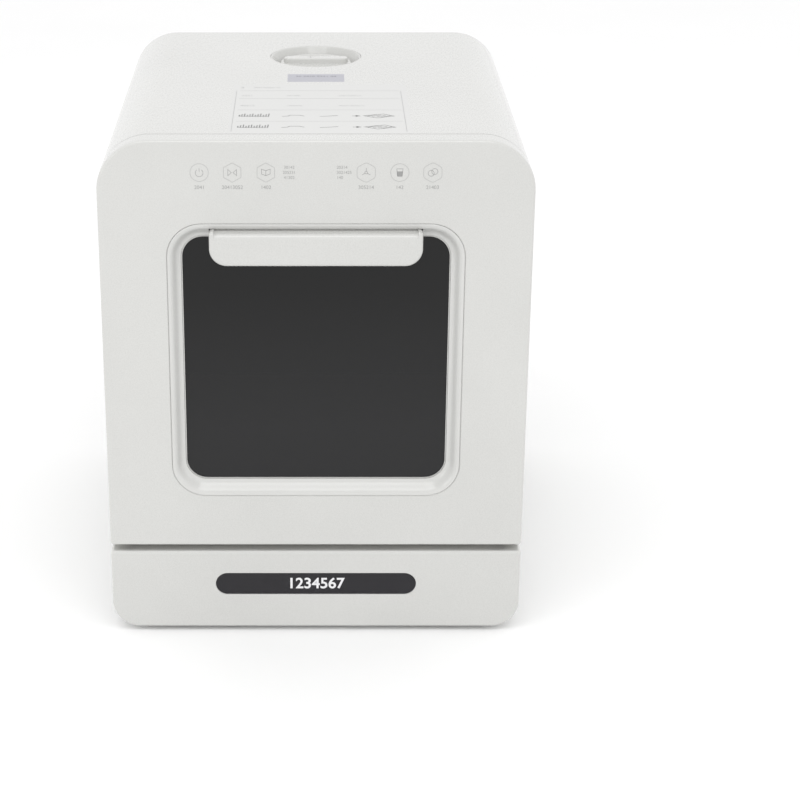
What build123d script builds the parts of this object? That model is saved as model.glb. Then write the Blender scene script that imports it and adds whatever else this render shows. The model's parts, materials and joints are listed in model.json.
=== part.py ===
from build123d import *

import os
from math import atan2, cos, degrees, pi, radians, sin

# Countertop dishwasher with a drop-down window door, a wire rack on wheels and a fill cap on top.
# Millimetres. X runs to the right as seen from the front, Y to the back and Z up. The origin lies on
# the surface that the feet stand on, at the middle of the overall width and depth.

os.makedirs("parts", exist_ok=True)

# Overall size
width = 365.0
depth = 404.0  # from the door's front face to the rear cover
height = 457.5  # from the table to the top
handle_proud = 8.0  # how far the handle stands out of the door's front face
foot_height = 4.0  # table to the underside of the base
casing_wall = 2.5
corner_radius = 44.0  # rounded top edges of the cabinet
base_corner_radius = 25.0  # rounded bottom edges of the cabinet
edge_round = 2.5  # corners between the door and the base panel
edge_chamfer = 1.6  # softened front edges
fit = 0.2  # gap between fixed pieces that lie in each other
butt_gap = 0.05  # between the solids of one piece that butt against each other
round_sides = 24  # flats of small round parts, which keep the mesh light
wide_round_sides = 48  # flats of the wide round parts

# Base and door
base_panel_height = 76.0
door_gap = 6.0  # between the base panel and the door
door_thickness = 20.0
door_seam = 1.2  # between the closed door and the cabinet
hinge_rise = 7.0  # hinge axis above the door's lower edge
panel_wall = 3.0  # front walls of the door and the base panel
rim_wall = 2.5  # side walls of the door and the base panel
door_heel_round = 4.5  # the door's lower back edge, which swings past the cabinet

# Underside of the casing: the rear part is stepped up
step_start = 160.0  # behind the casing's front edge
step_run = 45.0
step_rise = 12.0

# Window in the door
window_width = 226.0
window_low = 62.4  # visible glass above the door's lower edge
window_drop = 85.5  # visible glass below the door's top
window_depth = 10.0  # glass behind the door's front face
window_radius = 10.0
bevel_width = 12.5  # side bevels of the surround
bevel_height = 13.5  # top and bottom bevels of the surround
surround_radius = 20.0
surround_flange = 5.0  # surround behind the door's wall
surround_seat = 2.0
land = 1.0  # flat rim outside the bevel
glass_lap = 6.0  # glass hidden behind the surround
glass_thickness = 4.0

# Handle across the top of the window
handle_width = 179.0
handle_drop = 21.5  # handle below the window's top edge
handle_rise = 8.5  # handle above the window's top edge
handle_wall = 4.0
handle_radius = 15.0
handle_ear = 1.8  # end cheeks above the handle's top

# Touch keys on the door's front, with their board behind it
key_drop = 27.5  # key row below the door's top
key_board_width = 244.0
key_board_height = 26.0
key_chip_width = 60.0
key_chip_height = 14.0
key_chip_depth = 4.0

# Display in the base panel
pill_width = 179.0
pill_height = 21.1
pill_middle = 43.7  # above the base panel's lower edge
lens_thickness = 3.0
lens_lap = 2.5  # lens behind the panel's wall
post_length = 9.0
post_spacing = 161.0
post_offset = 7.0  # posts above and below the display
post_size = 5.0
board_wall = 1.6
display_width = 64.0
display_height = 16.0

# Tub
frame_wall = 3.0
mouth_width = 300.0
mouth_drop = 50.5  # top of the mouth below the cabinet's top
mouth_sill = 5.0  # lower edge of the mouth below the open door's level
mouth_radius = 14.0
seal_width = 5.0
tub_wall = 2.0
tub_depth = 296.0
basin_depth = 12.0
basin_wall = 2.5
basin_margin = 12.0  # floor in front of and behind the basin
ledge_width = 34.0  # floor ledges that carry the wheel tracks
track_rise = 0.4  # track above the open door's inner face
track_thickness = 2.0
track_width = 14.0
guide_height = 6.0

# Inner side of the door
liner_wall = 2.5
inner_window_width = 228.0
inner_window_low = 46.0  # above the door's lower edge
inner_window_drop = 77.5  # below the door's top
inner_frame_width = 10.0
inner_frame_height = 8.0
inner_frame_low = 28.0  # lower ends of the inner frame above the door's lower edge
door_seal_width = 2.8
door_seal_height = 5.0
seal_gap = 0.7  # door seal to the tub's mouth

# Hinges
pin_radius = 3.0
pin_clearance = 0.05
bracket_thickness = 4.0
bracket_height = 12.0
bracket_tail = 12.0  # behind the front frame
flange_width = 10.0
flange_height = 36.0
cheek_thickness = 2.2
cheek_gap = 0.5
cheek_height = 46.0
stay_radius = 24.0  # curved door stay, round the hinge axis
stay_width = 5.0
stay_lug = 5.5
stay_start = 80.0  # degrees above the backward direction
stay_end = -40.0
lug_span = 6.0
slot_gap = 1.0  # brackets and stays to the slots

# Latch
latch_rise = 29.5  # above the tub's mouth
latch_radius = 2.5
latch_hole_radius = 3.5
latch_reach = 8.0  # behind the frame's front face
latch_root_radius = 6.0
latch_root = 2.0
keeper_width = 28.0
keeper_height = 15.0
keeper_depth = 12.0
switch_width = 20.0
switch_height = 10.0
switch_depth = 6.0

# Rack
wire_radius = 1.6
wire_sides = 8
weld = 0.2  # crossing wires sink into each other
rack_width = 262.0
rack_length = 265.0
rack_setback = 25.0  # rack behind the closed door's inner face
rack_corner = 18.0
rail_lap = 4.0  # straight ends of the end rails, beyond the corners
rack_floor_rise = 31.5  # wheel bottoms to the centre of the cross wires
lower_rail_rise = 67.0
upper_rail_rise = 117.0
tall_frame_drop = 40.2  # top rail of the tall frames below the tub's ceiling
tall_rail_drops = (88.0, 25.0)  # the other rails below the top rail
long_wires = 7
cross_wires = 8
long_wire_inset = 6.0  # outer floor wires inside the rack's round corners
cross_wire_inset = 8.0
tine_height = 56.0
tine_count = 6
tine_inset = 12.0  # end tines inside the end cross wires
bowl_tine_shift = 9.0  # dog-leg of the bowl tines
wheel_radius = 13.5
wheel_width = 11.0
wheel_inset = 64.0  # front wheel behind the rack's front
wheel_gaps = (46.0, 168.0)  # second and third wheel behind the front one
wheel_clearance = 0.4
wheel_side_gap = 1.5  # wheels inside the rack's sides
axle_radius = 2.4
leg_gap = 0.7  # axle legs to the wheels
runner_lap = 16.0  # runner wires beyond the end wheels
axle_cap_radius = 4.4
axle_cap = 1.2

# Upper basket
basket_width = 84.0
basket_length = 250.0
basket_depth = 60.0
basket_hoops = 11
basket_rim_drop = 14.0  # rim below the side frame's top rail
hook_count = 3
hook_drop = 14.0
hook_gap = 0.8  # hooks and rim to the side frame
hook_inset = 14.0  # end hooks inside the end hoops
rim_point = 20.0  # pointed ends of the rim
hoop_inset = 6.0  # end hoops inside the points
hang_gap = 0.3  # between moving pieces that rest on each other

# Spray arm, filter and sump
spray_radius = 98.0
arm_thickness = 8.0
arm_hub_radius = 16.0
arm_tip_radius = 10.0
arm_spigot_radius = 6.0
arm_clearance = 0.3
filter_radius = 27.0
filter_flange = 32.0
filter_depth = 34.0
filter_inset = 58.0  # filter behind the tub's mouth
filter_gap = 1.0  # filter to the hole in the floor
filter_wall = 2.5
filter_rim = 2.0
filter_grip = 5.0
sump_gap = 2.0  # filter to the sump's wall
sump_room = 8.0  # sump below the filter
port_rise = 14.0  # pump ports above the sump's floor
port_reach = 16.0  # pump ports beyond the filter
hub_pipe_radius = 12.0
hub_pipe_length = 14.0
hub_cap_radius = 10.0
hub_cap_height = 4.0
arm_rise = 1.0  # spray arm above the basin's edge
nozzle_width = 2.0
nozzle_length = 8.0
sump_wall = 3.0

# Pumps and pipes in the base
wash_pump_radius = 27.0
wash_pump_length = 66.0
drain_pump_radius = 18.0
drain_pump_length = 50.0
volute_length = 18.0
pipe_radius = 8.0
heater_radius = 15.0
heater_gap = 7.0  # heater to the pipe's ends
hose_lead = 60.0  # straight end of the drain hose
hose_bore = 5.6
valve_width = 30.0
valve_height = 46.0
valve_depth = 34.0
valve_rise = 6.0
board_x = 70.0
board_setback = 62.0
board_length = 130.0
board_width = 70.0
board_standoff = 8.0
stud_size = 6.0
stud_inset = 7.0
relay_x = -38.0
relay_length = 34.0
relay_width = 30.0
relay_height = 26.0
chip_x = 22.0
chip_pitch = 24.0
chip_length = 16.0
chip_width = 20.0
chip_height = 14.0

# Water tank and filler
tank_width = 320.0
tank_wall = 2.5
tank_thickness = 56.0
tank_drop = 24.0  # tank below the casing's top
shelf_lead = 10.0  # tank in front of its neck
tank_neck = 22.0
filler_inset = 300.0  # filler behind the door's front face
filler_radius = 41.0
filler_wall = 2.5
filler_depth = 12.0
cap_radius = 34.0
cap_thickness = 5.0
grip_width = 12.0
grip_inset = 3.0
grip_drop = 0.8  # grip bar below the cabinet's top
flange_lap = 4.0
port_wall = 2.0
plug_radius = 20.0
plug_depth = 14.0
plug_flange = 1.5
plug_lap = 5.0
spigot_height = 2.5  # pivot of the knob on the plug

# Side vent and drying fan
vent_inset = 227.0  # vent behind the casing's front edge
vent_height = 335.0
vent_radius = 17.0
vent_hole = 1.7
fan_size = 60.0
fan_depth = 22.0
fan_radius = 25.0
fan_hub_radius = 9.0
fan_blades = 7
fan_gap = 1.5  # blades to the housing
fan_axle = 2.0
blade_wall = 1.6
blade_depth = 12.0
strut_width = 6.0
strut_depth = 4.0
duct_half = 20.0
duct_wall = 3.0

# Rear cover and connectors
rear_wall = 2.5
louvre_count = 9
louvre_width = 90.0
louvre_pitch = 8.0
louvre_drop = 90.0  # middle of the louvres below the cabinet's top
screw_radius = 3.6
screw_inset = 16.0
screw_low = 60.0
screw_drop = 59.5  # upper screws below the cabinet's top
spigot_radius = 8.0
spigot_setback = 1.0  # ends of the spigots inside the rear face
neck_radius = 7.0  # spigots where they pass through the cups
neck_reach = 0.5  # necks beyond the cups' faces
gland_setback = 4.0  # end of the cord gland inside the rear face
gland_flange = 6.0
cord_radius = 3.6  # bore for the mains cord
cup_depth = 16.0
connector_rise = 34.0  # above the stepped underside
connector_inset = 73.0  # outer connectors from the cabinet's sides
connector_spacing = 44.0

# Feet
foot_radius = 11.0
foot_inset = 6.0  # inside the rounded lower edges

# Planes and levels that follow from the sizes
door_face = handle_proud / 2 - depth / 2
rear_face = door_face + depth
door_back = door_face + door_thickness
casing_front = door_back + door_seam
frame_back = casing_front + frame_wall
base_top = foot_height + base_panel_height
door_bottom = base_top + door_gap
hinge_y = (door_face + door_back) / 2
hinge_z = door_bottom + hinge_rise
open_door_level = hinge_z + door_thickness / 2
mouth_low = open_door_level - mouth_sill
mouth_high = height - mouth_drop
mouth_half = mouth_width / 2
tub_half = mouth_half - seal_width
tub_low = mouth_low + seal_width
tub_high = mouth_high - seal_width
tub_back = frame_back + tub_depth
side_half = width / 2
inner_half = side_half - casing_wall - fit
hinge_x = (mouth_half + inner_half) / 2
track_level = open_door_level + track_rise
wheel_low = track_level + wheel_clearance
wheel_z = wheel_low + wheel_radius
basin_top = tub_low - basin_depth
basin_half = tub_half - ledge_width
step_low = foot_height + step_rise


def front_plane(y):
    """Upright plane at depth y, drawn as seen from the front; a negative extrusion runs backwards."""
    return Plane(origin=(0, y, 0), x_dir=(1, 0, 0), z_dir=(0, -1, 0))


def side_plane(x):
    """Upright plane at x, with Y as its first direction; a positive extrusion runs to the right."""
    return Plane(origin=(x, 0, 0), x_dir=(0, 1, 0), z_dir=(1, 0, 0))


def upright_outline(low, high, half, upper_radius, lower_radius=0.0):
    """Rectangle between two heights with its own rounding at the top and at the bottom."""
    with BuildSketch(Plane.XY, mode=Mode.PRIVATE) as outline:
        with Locations((0, (low + high) / 2)):
            Rectangle(2 * half, high - low)
        fillet(outline.vertices().group_by(Axis.Y)[-1], upper_radius)
        if lower_radius:
            fillet(outline.vertices().group_by(Axis.Y)[0], lower_radius)
    return outline.sketch


def disc(radius, sides=round_sides):
    """Round outline, nowhere wider than the radius."""
    RegularPolygon(radius, sides)


def bore(radius, sides=round_sides):
    """Round hole, nowhere narrower than the radius."""
    RegularPolygon(radius, sides, major_radius=False, mode=Mode.SUBTRACT)


def cabinet_outline(inset):
    """Cross-section of the cabinet seen from the front, drawn in by the inset on all sides."""
    return upright_outline(
        foot_height + inset,
        height - inset,
        side_half - inset,
        corner_radius - inset,
        base_corner_radius - inset,
    )


def mouth_outline(inset):
    """Outline of the tub's mouth, drawn in by the inset."""
    return upright_outline(
        mouth_low + inset,
        mouth_high - inset,
        mouth_half - inset,
        mouth_radius - inset,
        mouth_radius - inset,
    )


def door_outline(inset):
    """Outline of the door seen from the front, drawn in by the inset."""
    return upright_outline(
        door_bottom + inset,
        height - inset,
        side_half - inset,
        corner_radius - inset,
    )


def save(piece, name):
    piece.part.label = name
    export_step(piece.part, f"parts/{name}.step")


# ---------------------------------------------------------------------------- cabinet shells

# Space under the stepped rear of the casing, seen from the side
with BuildSketch(side_plane(-side_half), mode=Mode.PRIVATE) as step_space:
    with BuildLine():
        FilletPolyline(
            (casing_front + step_start - step_run, foot_height),
            (casing_front + step_start, foot_height),
            (casing_front + step_start + step_run, step_low),
            (casing_front + step_start + 2 * step_run, step_low),
            radius=step_run / 2,
        )
        Polyline(
            (casing_front + step_start + 2 * step_run, step_low),
            (rear_face, step_low),
            (rear_face, 0),
            (casing_front + step_start - step_run, 0),
            (casing_front + step_start - step_run, foot_height),
        )
    make_face()

# One sheet wraps the top, the sides and the rounded lower edges
vent_y = casing_front + vent_inset
with BuildPart() as outer_casing:
    with BuildSketch(front_plane(casing_front)):
        add(cabinet_outline(0))
        add(cabinet_outline(casing_wall), mode=Mode.SUBTRACT)
        with Locations((0, foot_height)):
            Rectangle(2 * (side_half - base_corner_radius), 4 * casing_wall, mode=Mode.SUBTRACT)
    extrude(amount=-(rear_face - casing_front))
    extrude(step_space.sketch, amount=width, mode=Mode.SUBTRACT)
    with BuildSketch(Plane.XY.offset(height)):
        with Locations((0, door_face + filler_inset)):
            RegularPolygon(filler_radius + filler_wall, wide_round_sides, major_radius=False)
    extrude(amount=-2 * casing_wall, mode=Mode.SUBTRACT)
    with BuildSketch(side_plane(side_half)):
        with Locations((vent_y, vent_height)):
            RegularPolygon(vent_radius + fit, round_sides, major_radius=False)
    extrude(amount=-2 * casing_wall, mode=Mode.SUBTRACT)
save(outer_casing, "outer_casing")

# Front frame round the tub's mouth, with the hinge slots and the latch hole
slot_low = hinge_z - bracket_height / 2 - slot_gap
slot_high = hinge_z + stay_radius + 0.6
slot_inner = hinge_x - bracket_thickness / 2 - cheek_gap
slot_outer = hinge_x + bracket_thickness / 2 + cheek_gap + cheek_thickness + cheek_gap
latch_z = mouth_high + latch_rise
with BuildPart() as front_frame:
    with BuildSketch(front_plane(casing_front)):
        add(cabinet_outline(casing_wall + fit))
        add(mouth_outline(0), mode=Mode.SUBTRACT)
        with Locations(
            (-(slot_inner + slot_outer) / 2, (slot_low + slot_high) / 2),
            ((slot_inner + slot_outer) / 2, (slot_low + slot_high) / 2),
        ):
            Rectangle(slot_outer - slot_inner, slot_high - slot_low, mode=Mode.SUBTRACT)
        with Locations((0, latch_z)):
            Circle(latch_hole_radius, mode=Mode.SUBTRACT)
    extrude(amount=-frame_wall)
save(front_frame, "front_frame")

# Rear cover, let into the casing, with louvres and recessed cups for the connectors
connector_z = step_low + connector_rise
drain_x = connector_inset - side_half
inlet_x = drain_x + connector_spacing
gland_x = side_half - connector_inset
cup_places = [(x, connector_z) for x in (drain_x, inlet_x, gland_x)]
cup_radius = 2 * spigot_radius
cup_face = rear_face - cup_depth
cup_back = cup_face - rear_wall
screw_x = inner_half - screw_inset
screw_high = height - screw_drop
screw_levels = (screw_low, (screw_low + screw_high) / 2, screw_high)
screw_places = [(side * screw_x, z) for side in (-1, 1) for z in screw_levels]
with BuildPart() as rear_cover:
    with BuildSketch(front_plane(rear_face - rear_wall)):
        add(cabinet_outline(casing_wall + fit))
        with Locations((0, (step_low + casing_wall) / 2)):
            Rectangle(width, step_low + casing_wall, mode=Mode.SUBTRACT)
        with Locations((0, height - louvre_drop)):
            with GridLocations(1, louvre_pitch, 1, louvre_count):
                Rectangle(louvre_width, louvre_pitch / 2, mode=Mode.SUBTRACT)
        with Locations(*screw_places):
            RegularPolygon(screw_radius + fit, 8, mode=Mode.SUBTRACT)
        with Locations(*cup_places):
            bore(cup_radius)
    extrude(amount=-rear_wall)
    with BuildSketch(front_plane(rear_face - rear_wall)):
        with Locations(*cup_places):
            disc(cup_radius + rear_wall)
            bore(cup_radius)
    extrude(amount=cup_depth - rear_wall)
    with BuildSketch(front_plane(cup_face)):
        with Locations(*cup_places):
            disc(cup_radius + rear_wall)
            bore(spigot_radius + fit)
    extrude(amount=rear_wall)
save(rear_cover, "rear_cover")

with BuildPart() as rear_screws:
    with BuildSketch(front_plane(rear_face)):
        with Locations(*screw_places):
            RegularPolygon(screw_radius, 8)
    extrude(amount=rear_wall)
save(rear_screws, "rear_screws")

# Base pan, following the step of the underside
with BuildPart() as base_pan:
    with BuildSketch(side_plane(-side_half)):
        with BuildLine():
            pan_line = Polyline(
                (frame_back, foot_height + casing_wall + fit),
                (casing_front + step_start, foot_height + casing_wall + fit),
                (casing_front + step_start + step_run, step_low),
                (rear_face - rear_wall, step_low),
                (rear_face - rear_wall, step_low + casing_wall),
                (casing_front + step_start + step_run, step_low + casing_wall),
                (casing_front + step_start, foot_height + 2 * casing_wall + fit),
                (frame_back, foot_height + 2 * casing_wall + fit),
                close=True,
            )
        make_face()
    extrude(amount=width)
    with BuildSketch(front_plane(frame_back)):
        add(cabinet_outline(casing_wall + fit))
    extrude(amount=-(rear_face - rear_wall - frame_back), mode=Mode.INTERSECT)
save(base_pan, "base_pan")

# Feet: short ones under the front, tall ones under the stepped rear
foot_x = side_half - base_corner_radius - foot_radius - foot_inset
with BuildPart() as feet:
    for foot_y, foot_top in (
        (frame_back + 2 * foot_radius, foot_height + casing_wall + fit),
        (rear_face - 2.5 * foot_radius, step_low),
    ):
        with BuildSketch(Plane.XY):
            with Locations((-foot_x, foot_y), (foot_x, foot_y)):
                disc(foot_radius)
        extrude(amount=foot_top)
save(feet, "feet")

# ---------------------------------------------------------------------------- base panel and display

pill_z = foot_height + pill_middle
with BuildPart() as base_front_panel:
    with BuildSketch(front_plane(door_face)):
        add(upright_outline(foot_height, base_top, side_half, edge_round, base_corner_radius))
    extrude(amount=-(casing_front - door_face))
    chamfer(base_front_panel.faces().sort_by(Axis.Y)[0].edges(), edge_chamfer)
    with BuildSketch(front_plane(door_face + panel_wall)):
        add(
            upright_outline(
                foot_height + rim_wall,
                base_top - rim_wall,
                side_half - rim_wall,
                edge_round,
                base_corner_radius - rim_wall,
            )
        )
    extrude(amount=-door_thickness, mode=Mode.SUBTRACT)
    with BuildSketch(front_plane(door_face)):
        with Locations((0, pill_z)):
            SlotOverall(pill_width, pill_height)
    extrude(amount=-panel_wall, mode=Mode.SUBTRACT)
    with BuildSketch(front_plane(door_face + panel_wall)):
        with Locations((0, pill_z)):
            with GridLocations(post_spacing, pill_height + 2 * post_offset, 2, 2):
                Rectangle(post_size, post_size)
    extrude(amount=-post_length)
save(base_front_panel, "base_front_panel")

with BuildPart() as display_lens:
    with BuildSketch(front_plane(door_face + fit)):
        with Locations((0, pill_z)):
            SlotOverall(pill_width - 2 * fit, pill_height - 2 * fit)
    extrude(amount=-(panel_wall - fit))
    with BuildSketch(front_plane(door_face + panel_wall)):
        with Locations((0, pill_z)):
            SlotOverall(pill_width + 2 * lens_lap, pill_height + 2 * lens_lap)
    extrude(amount=-(lens_thickness / 2))
save(display_lens, "display_lens")

board_front = door_face + panel_wall + post_length
with BuildPart() as display_board:
    with BuildSketch(front_plane(board_front)):
        with Locations((0, pill_z)):
            Rectangle(post_spacing + 2 * post_size, pill_height + 2 * post_offset + 2 * post_size)
    extrude(amount=-board_wall)
    with BuildSketch(front_plane(board_front)):
        with Locations((0, pill_z)):
            Rectangle(display_width, display_height)
    extrude(amount=post_length - lens_thickness)
save(display_board, "display_board")

# ---------------------------------------------------------------------------- tub

filter_y = frame_back + filter_inset
spray_y = (frame_back + tub_back) / 2

# Side walls, back and ceiling, with a flange behind the front frame
with BuildPart() as tub_shell:
    with BuildSketch(front_plane(frame_back)):
        add(mouth_outline(seal_width - tub_wall))
    extrude(amount=-(tub_depth + tub_wall))
    with BuildSketch(front_plane(frame_back)):
        add(mouth_outline(-seal_width))
    extrude(amount=-tub_wall)
    with BuildSketch(front_plane(frame_back)):
        add(mouth_outline(seal_width))
    extrude(amount=-tub_depth, mode=Mode.SUBTRACT)
    with BuildSketch(Plane.XY.offset(mouth_low - 2 * seal_width)):
        with Locations((0, (frame_back + tub_wall + tub_back) / 2)):
            Rectangle(2 * tub_half, tub_depth - tub_wall)
    extrude(amount=tub_low + mouth_radius - mouth_low, mode=Mode.SUBTRACT)
save(tub_shell, "tub_shell")

# Floor: two ledges for the wheel tracks and a sunk basin between them
floor_front = frame_back + tub_wall
basin_front = floor_front + basin_margin
basin_back = tub_back - basin_margin
with BuildPart() as tub_floor:
    with BuildSketch(Plane.XY.offset(basin_top - basin_wall)):
        with Locations((0, (floor_front + tub_back) / 2)):
            Rectangle(2 * (tub_half - fit), tub_back - floor_front - fit)
    extrude(amount=track_level - track_thickness - basin_top + basin_wall)
    with BuildSketch(Plane.XY.offset(basin_top)):
        with Locations((0, (basin_front + basin_back) / 2)):
            RectangleRounded(2 * basin_half, basin_back - basin_front, mouth_radius)
    extrude(amount=basin_depth + track_rise, mode=Mode.SUBTRACT)
    with BuildSketch(Plane.XY.offset(basin_top - basin_wall)):
        for side in (-1, 1):
            with Locations((side * (basin_half + tub_half) / 2, (floor_front + tub_back) / 2)):
                Rectangle(ledge_width - 2 * basin_wall, tub_back - floor_front - 4 * basin_wall)
    extrude(amount=basin_depth - basin_wall, mode=Mode.SUBTRACT)
    with BuildSketch(Plane.XY.offset(basin_top)):
        with Locations((0, filter_y)):
            disc(filter_radius + filter_gap, wide_round_sides)
        with Locations((0, spray_y)):
            disc(hub_pipe_radius + filter_gap)
    extrude(amount=-basin_wall, mode=Mode.SUBTRACT)
save(tub_floor, "tub_floor")

# Wheel tracks: flat strips, each with a guide rib on its outer side
wheel_x = rack_width / 2 - wheel_width / 2 - wheel_side_gap
track_foot = track_level - track_thickness
rib_x = wheel_x + track_width / 2 + track_thickness / 2 + butt_gap
with BuildPart() as wheel_tracks:
    with BuildSketch(front_plane(floor_front)):
        for side in (-1, 1):
            with Locations((side * wheel_x, track_level - track_thickness / 2)):
                Rectangle(track_width, track_thickness)
            with Locations((side * rib_x, (track_foot + track_level + guide_height) / 2)):
                Rectangle(track_thickness, track_level + guide_height - track_foot)
    extrude(amount=-(tub_back - floor_front - track_thickness))
save(wheel_tracks, "wheel_tracks")

with BuildPart() as tub_gasket:
    with BuildSketch(front_plane(casing_front - door_seam / 2)):
        add(mouth_outline(fit))
        add(mouth_outline(seal_width), mode=Mode.SUBTRACT)
    extrude(amount=-(frame_wall + door_seam / 2))
save(tub_gasket, "tub_gasket")

# Sump under the filter, with a port to each pump
sump_low = basin_top - basin_wall - filter_depth - sump_room
port_z = sump_low + port_rise
port_end = filter_radius + port_reach
with BuildPart() as sump_housing:
    with BuildSketch(Plane.XY.offset(sump_low)):
        with Locations((0, filter_y)):
            disc(filter_radius + sump_gap + sump_wall)
    extrude(amount=basin_top - basin_wall - sump_low)
    with BuildSketch(side_plane(-port_end)):
        with Locations((filter_y, port_z)):
            RegularPolygon(pipe_radius, 8)
    extrude(amount=2 * port_end)
    with BuildSketch(Plane.XY.offset(sump_low + sump_wall)):
        with Locations((0, filter_y)):
            disc(filter_radius + sump_gap)
    extrude(amount=basin_top - basin_wall - sump_low - sump_wall, mode=Mode.SUBTRACT)
save(sump_housing, "sump_housing")

# Filter cup with a grip, which turns in its bayonet
with BuildPart() as filter_cup:
    with BuildSketch(Plane.XY.offset(basin_top + fit)):
        with Locations((0, filter_y)):
            disc(filter_flange)
    extrude(amount=filter_rim)
    with BuildSketch(Plane.XY.offset(basin_top + fit)):
        with Locations((0, filter_y)):
            disc(filter_radius)
    extrude(amount=-filter_depth)
    with BuildSketch(Plane.XY.offset(basin_top + fit + filter_rim)):
        with Locations((0, filter_y)):
            disc(filter_radius - filter_wall)
    extrude(amount=-filter_depth, mode=Mode.SUBTRACT)
    with BuildSketch(Plane.XY.offset(basin_top + fit)):
        with Locations((0, filter_y)):
            Rectangle(2 * filter_radius, filter_grip)
    extrude(amount=basin_depth - filter_rim)
save(filter_cup, "filter_cup")

# Spray hub: a feed pipe from below, a bearing spigot and a cap that holds the arm
arm_low = basin_top + basin_depth + arm_rise
with BuildPart() as spray_hub:
    with BuildSketch(Plane.XY.offset(basin_top)):
        with Locations((0, spray_y)):
            disc(arm_hub_radius)
    extrude(amount=arm_low - arm_clearance - basin_top)
    with BuildSketch(Plane.XY.offset(basin_top)):
        with Locations((0, spray_y)):
            disc(hub_pipe_radius)
    extrude(amount=-(basin_wall + hub_pipe_length))
    with BuildSketch(Plane.XY.offset(arm_low - arm_clearance)):
        with Locations((0, spray_y)):
            disc(arm_spigot_radius)
    extrude(amount=arm_thickness + 2 * arm_clearance)
    with BuildSketch(Plane.XY.offset(arm_low + arm_thickness + arm_clearance)):
        with Locations((0, spray_y)):
            RegularPolygon(hub_cap_radius, 6)
    extrude(amount=hub_cap_height)
save(spray_hub, "spray_hub")

with BuildPart() as spray_arm:
    with BuildSketch(Plane.XY.offset(arm_low)):
        with BuildLine():
            tip = spray_radius - arm_tip_radius
            lean = degrees(atan2(arm_hub_radius - arm_tip_radius, tip))
            for turn in (0, 180):
                middle = Vector(0, spray_y)
                tip_centre = middle + Vector(tip, 0).rotate(Axis.Z, turn)
                CenterArc(tip_centre, arm_tip_radius, turn - 90 + lean, 180 - 2 * lean)
                CenterArc(middle, arm_hub_radius, turn + 90 - lean, 2 * lean)
            for turn in (0, 180):
                middle = Vector(0, spray_y)
                for lift in (1, -1):
                    angle = turn + lift * (90 - lean)
                    outward = Vector(1, 0).rotate(Axis.Z, angle)
                    tip_centre = middle + Vector(tip, 0).rotate(Axis.Z, turn)
                    Line(middle + outward * arm_hub_radius, tip_centre + outward * arm_tip_radius)
        make_face()
        with Locations((0, spray_y)):
            Circle(arm_spigot_radius + pin_clearance, mode=Mode.SUBTRACT)
    extrude(amount=arm_thickness)
    with BuildSketch(Plane.XY.offset(arm_low + arm_thickness)):
        with Locations((0, spray_y)):
            with GridLocations(spray_radius / 2 - nozzle_width, 1, 4, 1):
                Rectangle(nozzle_width, nozzle_length)
    extrude(amount=-nozzle_width, mode=Mode.SUBTRACT)
save(spray_arm, "spray_arm")

# ---------------------------------------------------------------------------- hinges and latch


def round_hinge(radius, angle):
    """Point at an angle above the backward direction, round the hinge axis."""
    return (hinge_y + radius * cos(radians(angle)), hinge_z + radius * sin(radians(angle)))


# Cabinet side: a plate that reaches through the slot and holds the pin, on a flange behind the frame
bracket_inner = hinge_x - bracket_thickness / 2
with BuildPart() as hinge_brackets:
    with BuildSketch(side_plane(bracket_inner)):
        with Locations((hinge_y, hinge_z)):
            Circle(bracket_height / 2)
        with Locations(((hinge_y + frame_back + bracket_tail) / 2, hinge_z)):
            Rectangle(frame_back + bracket_tail - hinge_y, bracket_height)
        with Locations((hinge_y, hinge_z)):
            Circle(pin_radius + pin_clearance, mode=Mode.SUBTRACT)
    extrude(amount=bracket_thickness)
    with BuildSketch(front_plane(frame_back)):
        flange_x = bracket_inner + bracket_thickness - flange_width / 2
        with Locations((flange_x, hinge_z - bracket_height / 2)):
            Rectangle(flange_width, flange_height)
    extrude(amount=-rim_wall)
    mirror(about=Plane.YZ)
save(hinge_brackets, "hinge_brackets")

# Door side: two cheeks with the pin between them, and the curved stay with its stop lug
cheek_inner = bracket_inner - cheek_gap - cheek_thickness
cheek_outer = bracket_inner + bracket_thickness + cheek_gap
cheek_front = door_face + panel_wall
cheek_back = door_back - liner_wall - fit
stay_in = stay_radius - stay_width / 2
stay_out = stay_radius + stay_width / 2
with BuildPart() as hinge_arms:
    for cheek in (cheek_inner, cheek_outer):
        with BuildSketch(side_plane(cheek)):
            with Locations((hinge_y, hinge_z)):
                Circle(hinge_y - cheek_front)
            with Locations(((cheek_front + cheek_back) / 2, hinge_z + cheek_height / 2)):
                Rectangle(cheek_back - cheek_front, cheek_height)
        extrude(amount=cheek_thickness)
    with BuildSketch(front_plane(cheek_front)):
        with Locations((hinge_x, hinge_z + (cheek_height + bracket_height) / 2)):
            Rectangle(cheek_outer - cheek_inner + cheek_thickness, cheek_height - bracket_height)
    extrude(amount=-cheek_thickness)
    with BuildSketch(side_plane(cheek_inner)):
        with Locations((hinge_y, hinge_z)):
            Circle(pin_radius)
    extrude(amount=cheek_outer - cheek_inner)
    with BuildSketch(side_plane(cheek_outer)):
        with BuildLine():
            CenterArc((hinge_y, hinge_z), stay_in, stay_end, stay_start - stay_end)
            CenterArc((hinge_y, hinge_z), stay_out, stay_end + lug_span, stay_start - stay_end - lug_span)
            CenterArc((hinge_y, hinge_z), stay_out + stay_lug, stay_end, lug_span)
            Line(round_hinge(stay_in, stay_start), round_hinge(stay_out, stay_start))
            Line(round_hinge(stay_in, stay_end), round_hinge(stay_out + stay_lug, stay_end))
            Line(
                round_hinge(stay_out, stay_end + lug_span),
                round_hinge(stay_out + stay_lug, stay_end + lug_span),
            )
        make_face()
    extrude(amount=cheek_thickness)
    mirror(about=Plane.YZ)
save(hinge_arms, "hinge_arms")

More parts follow.
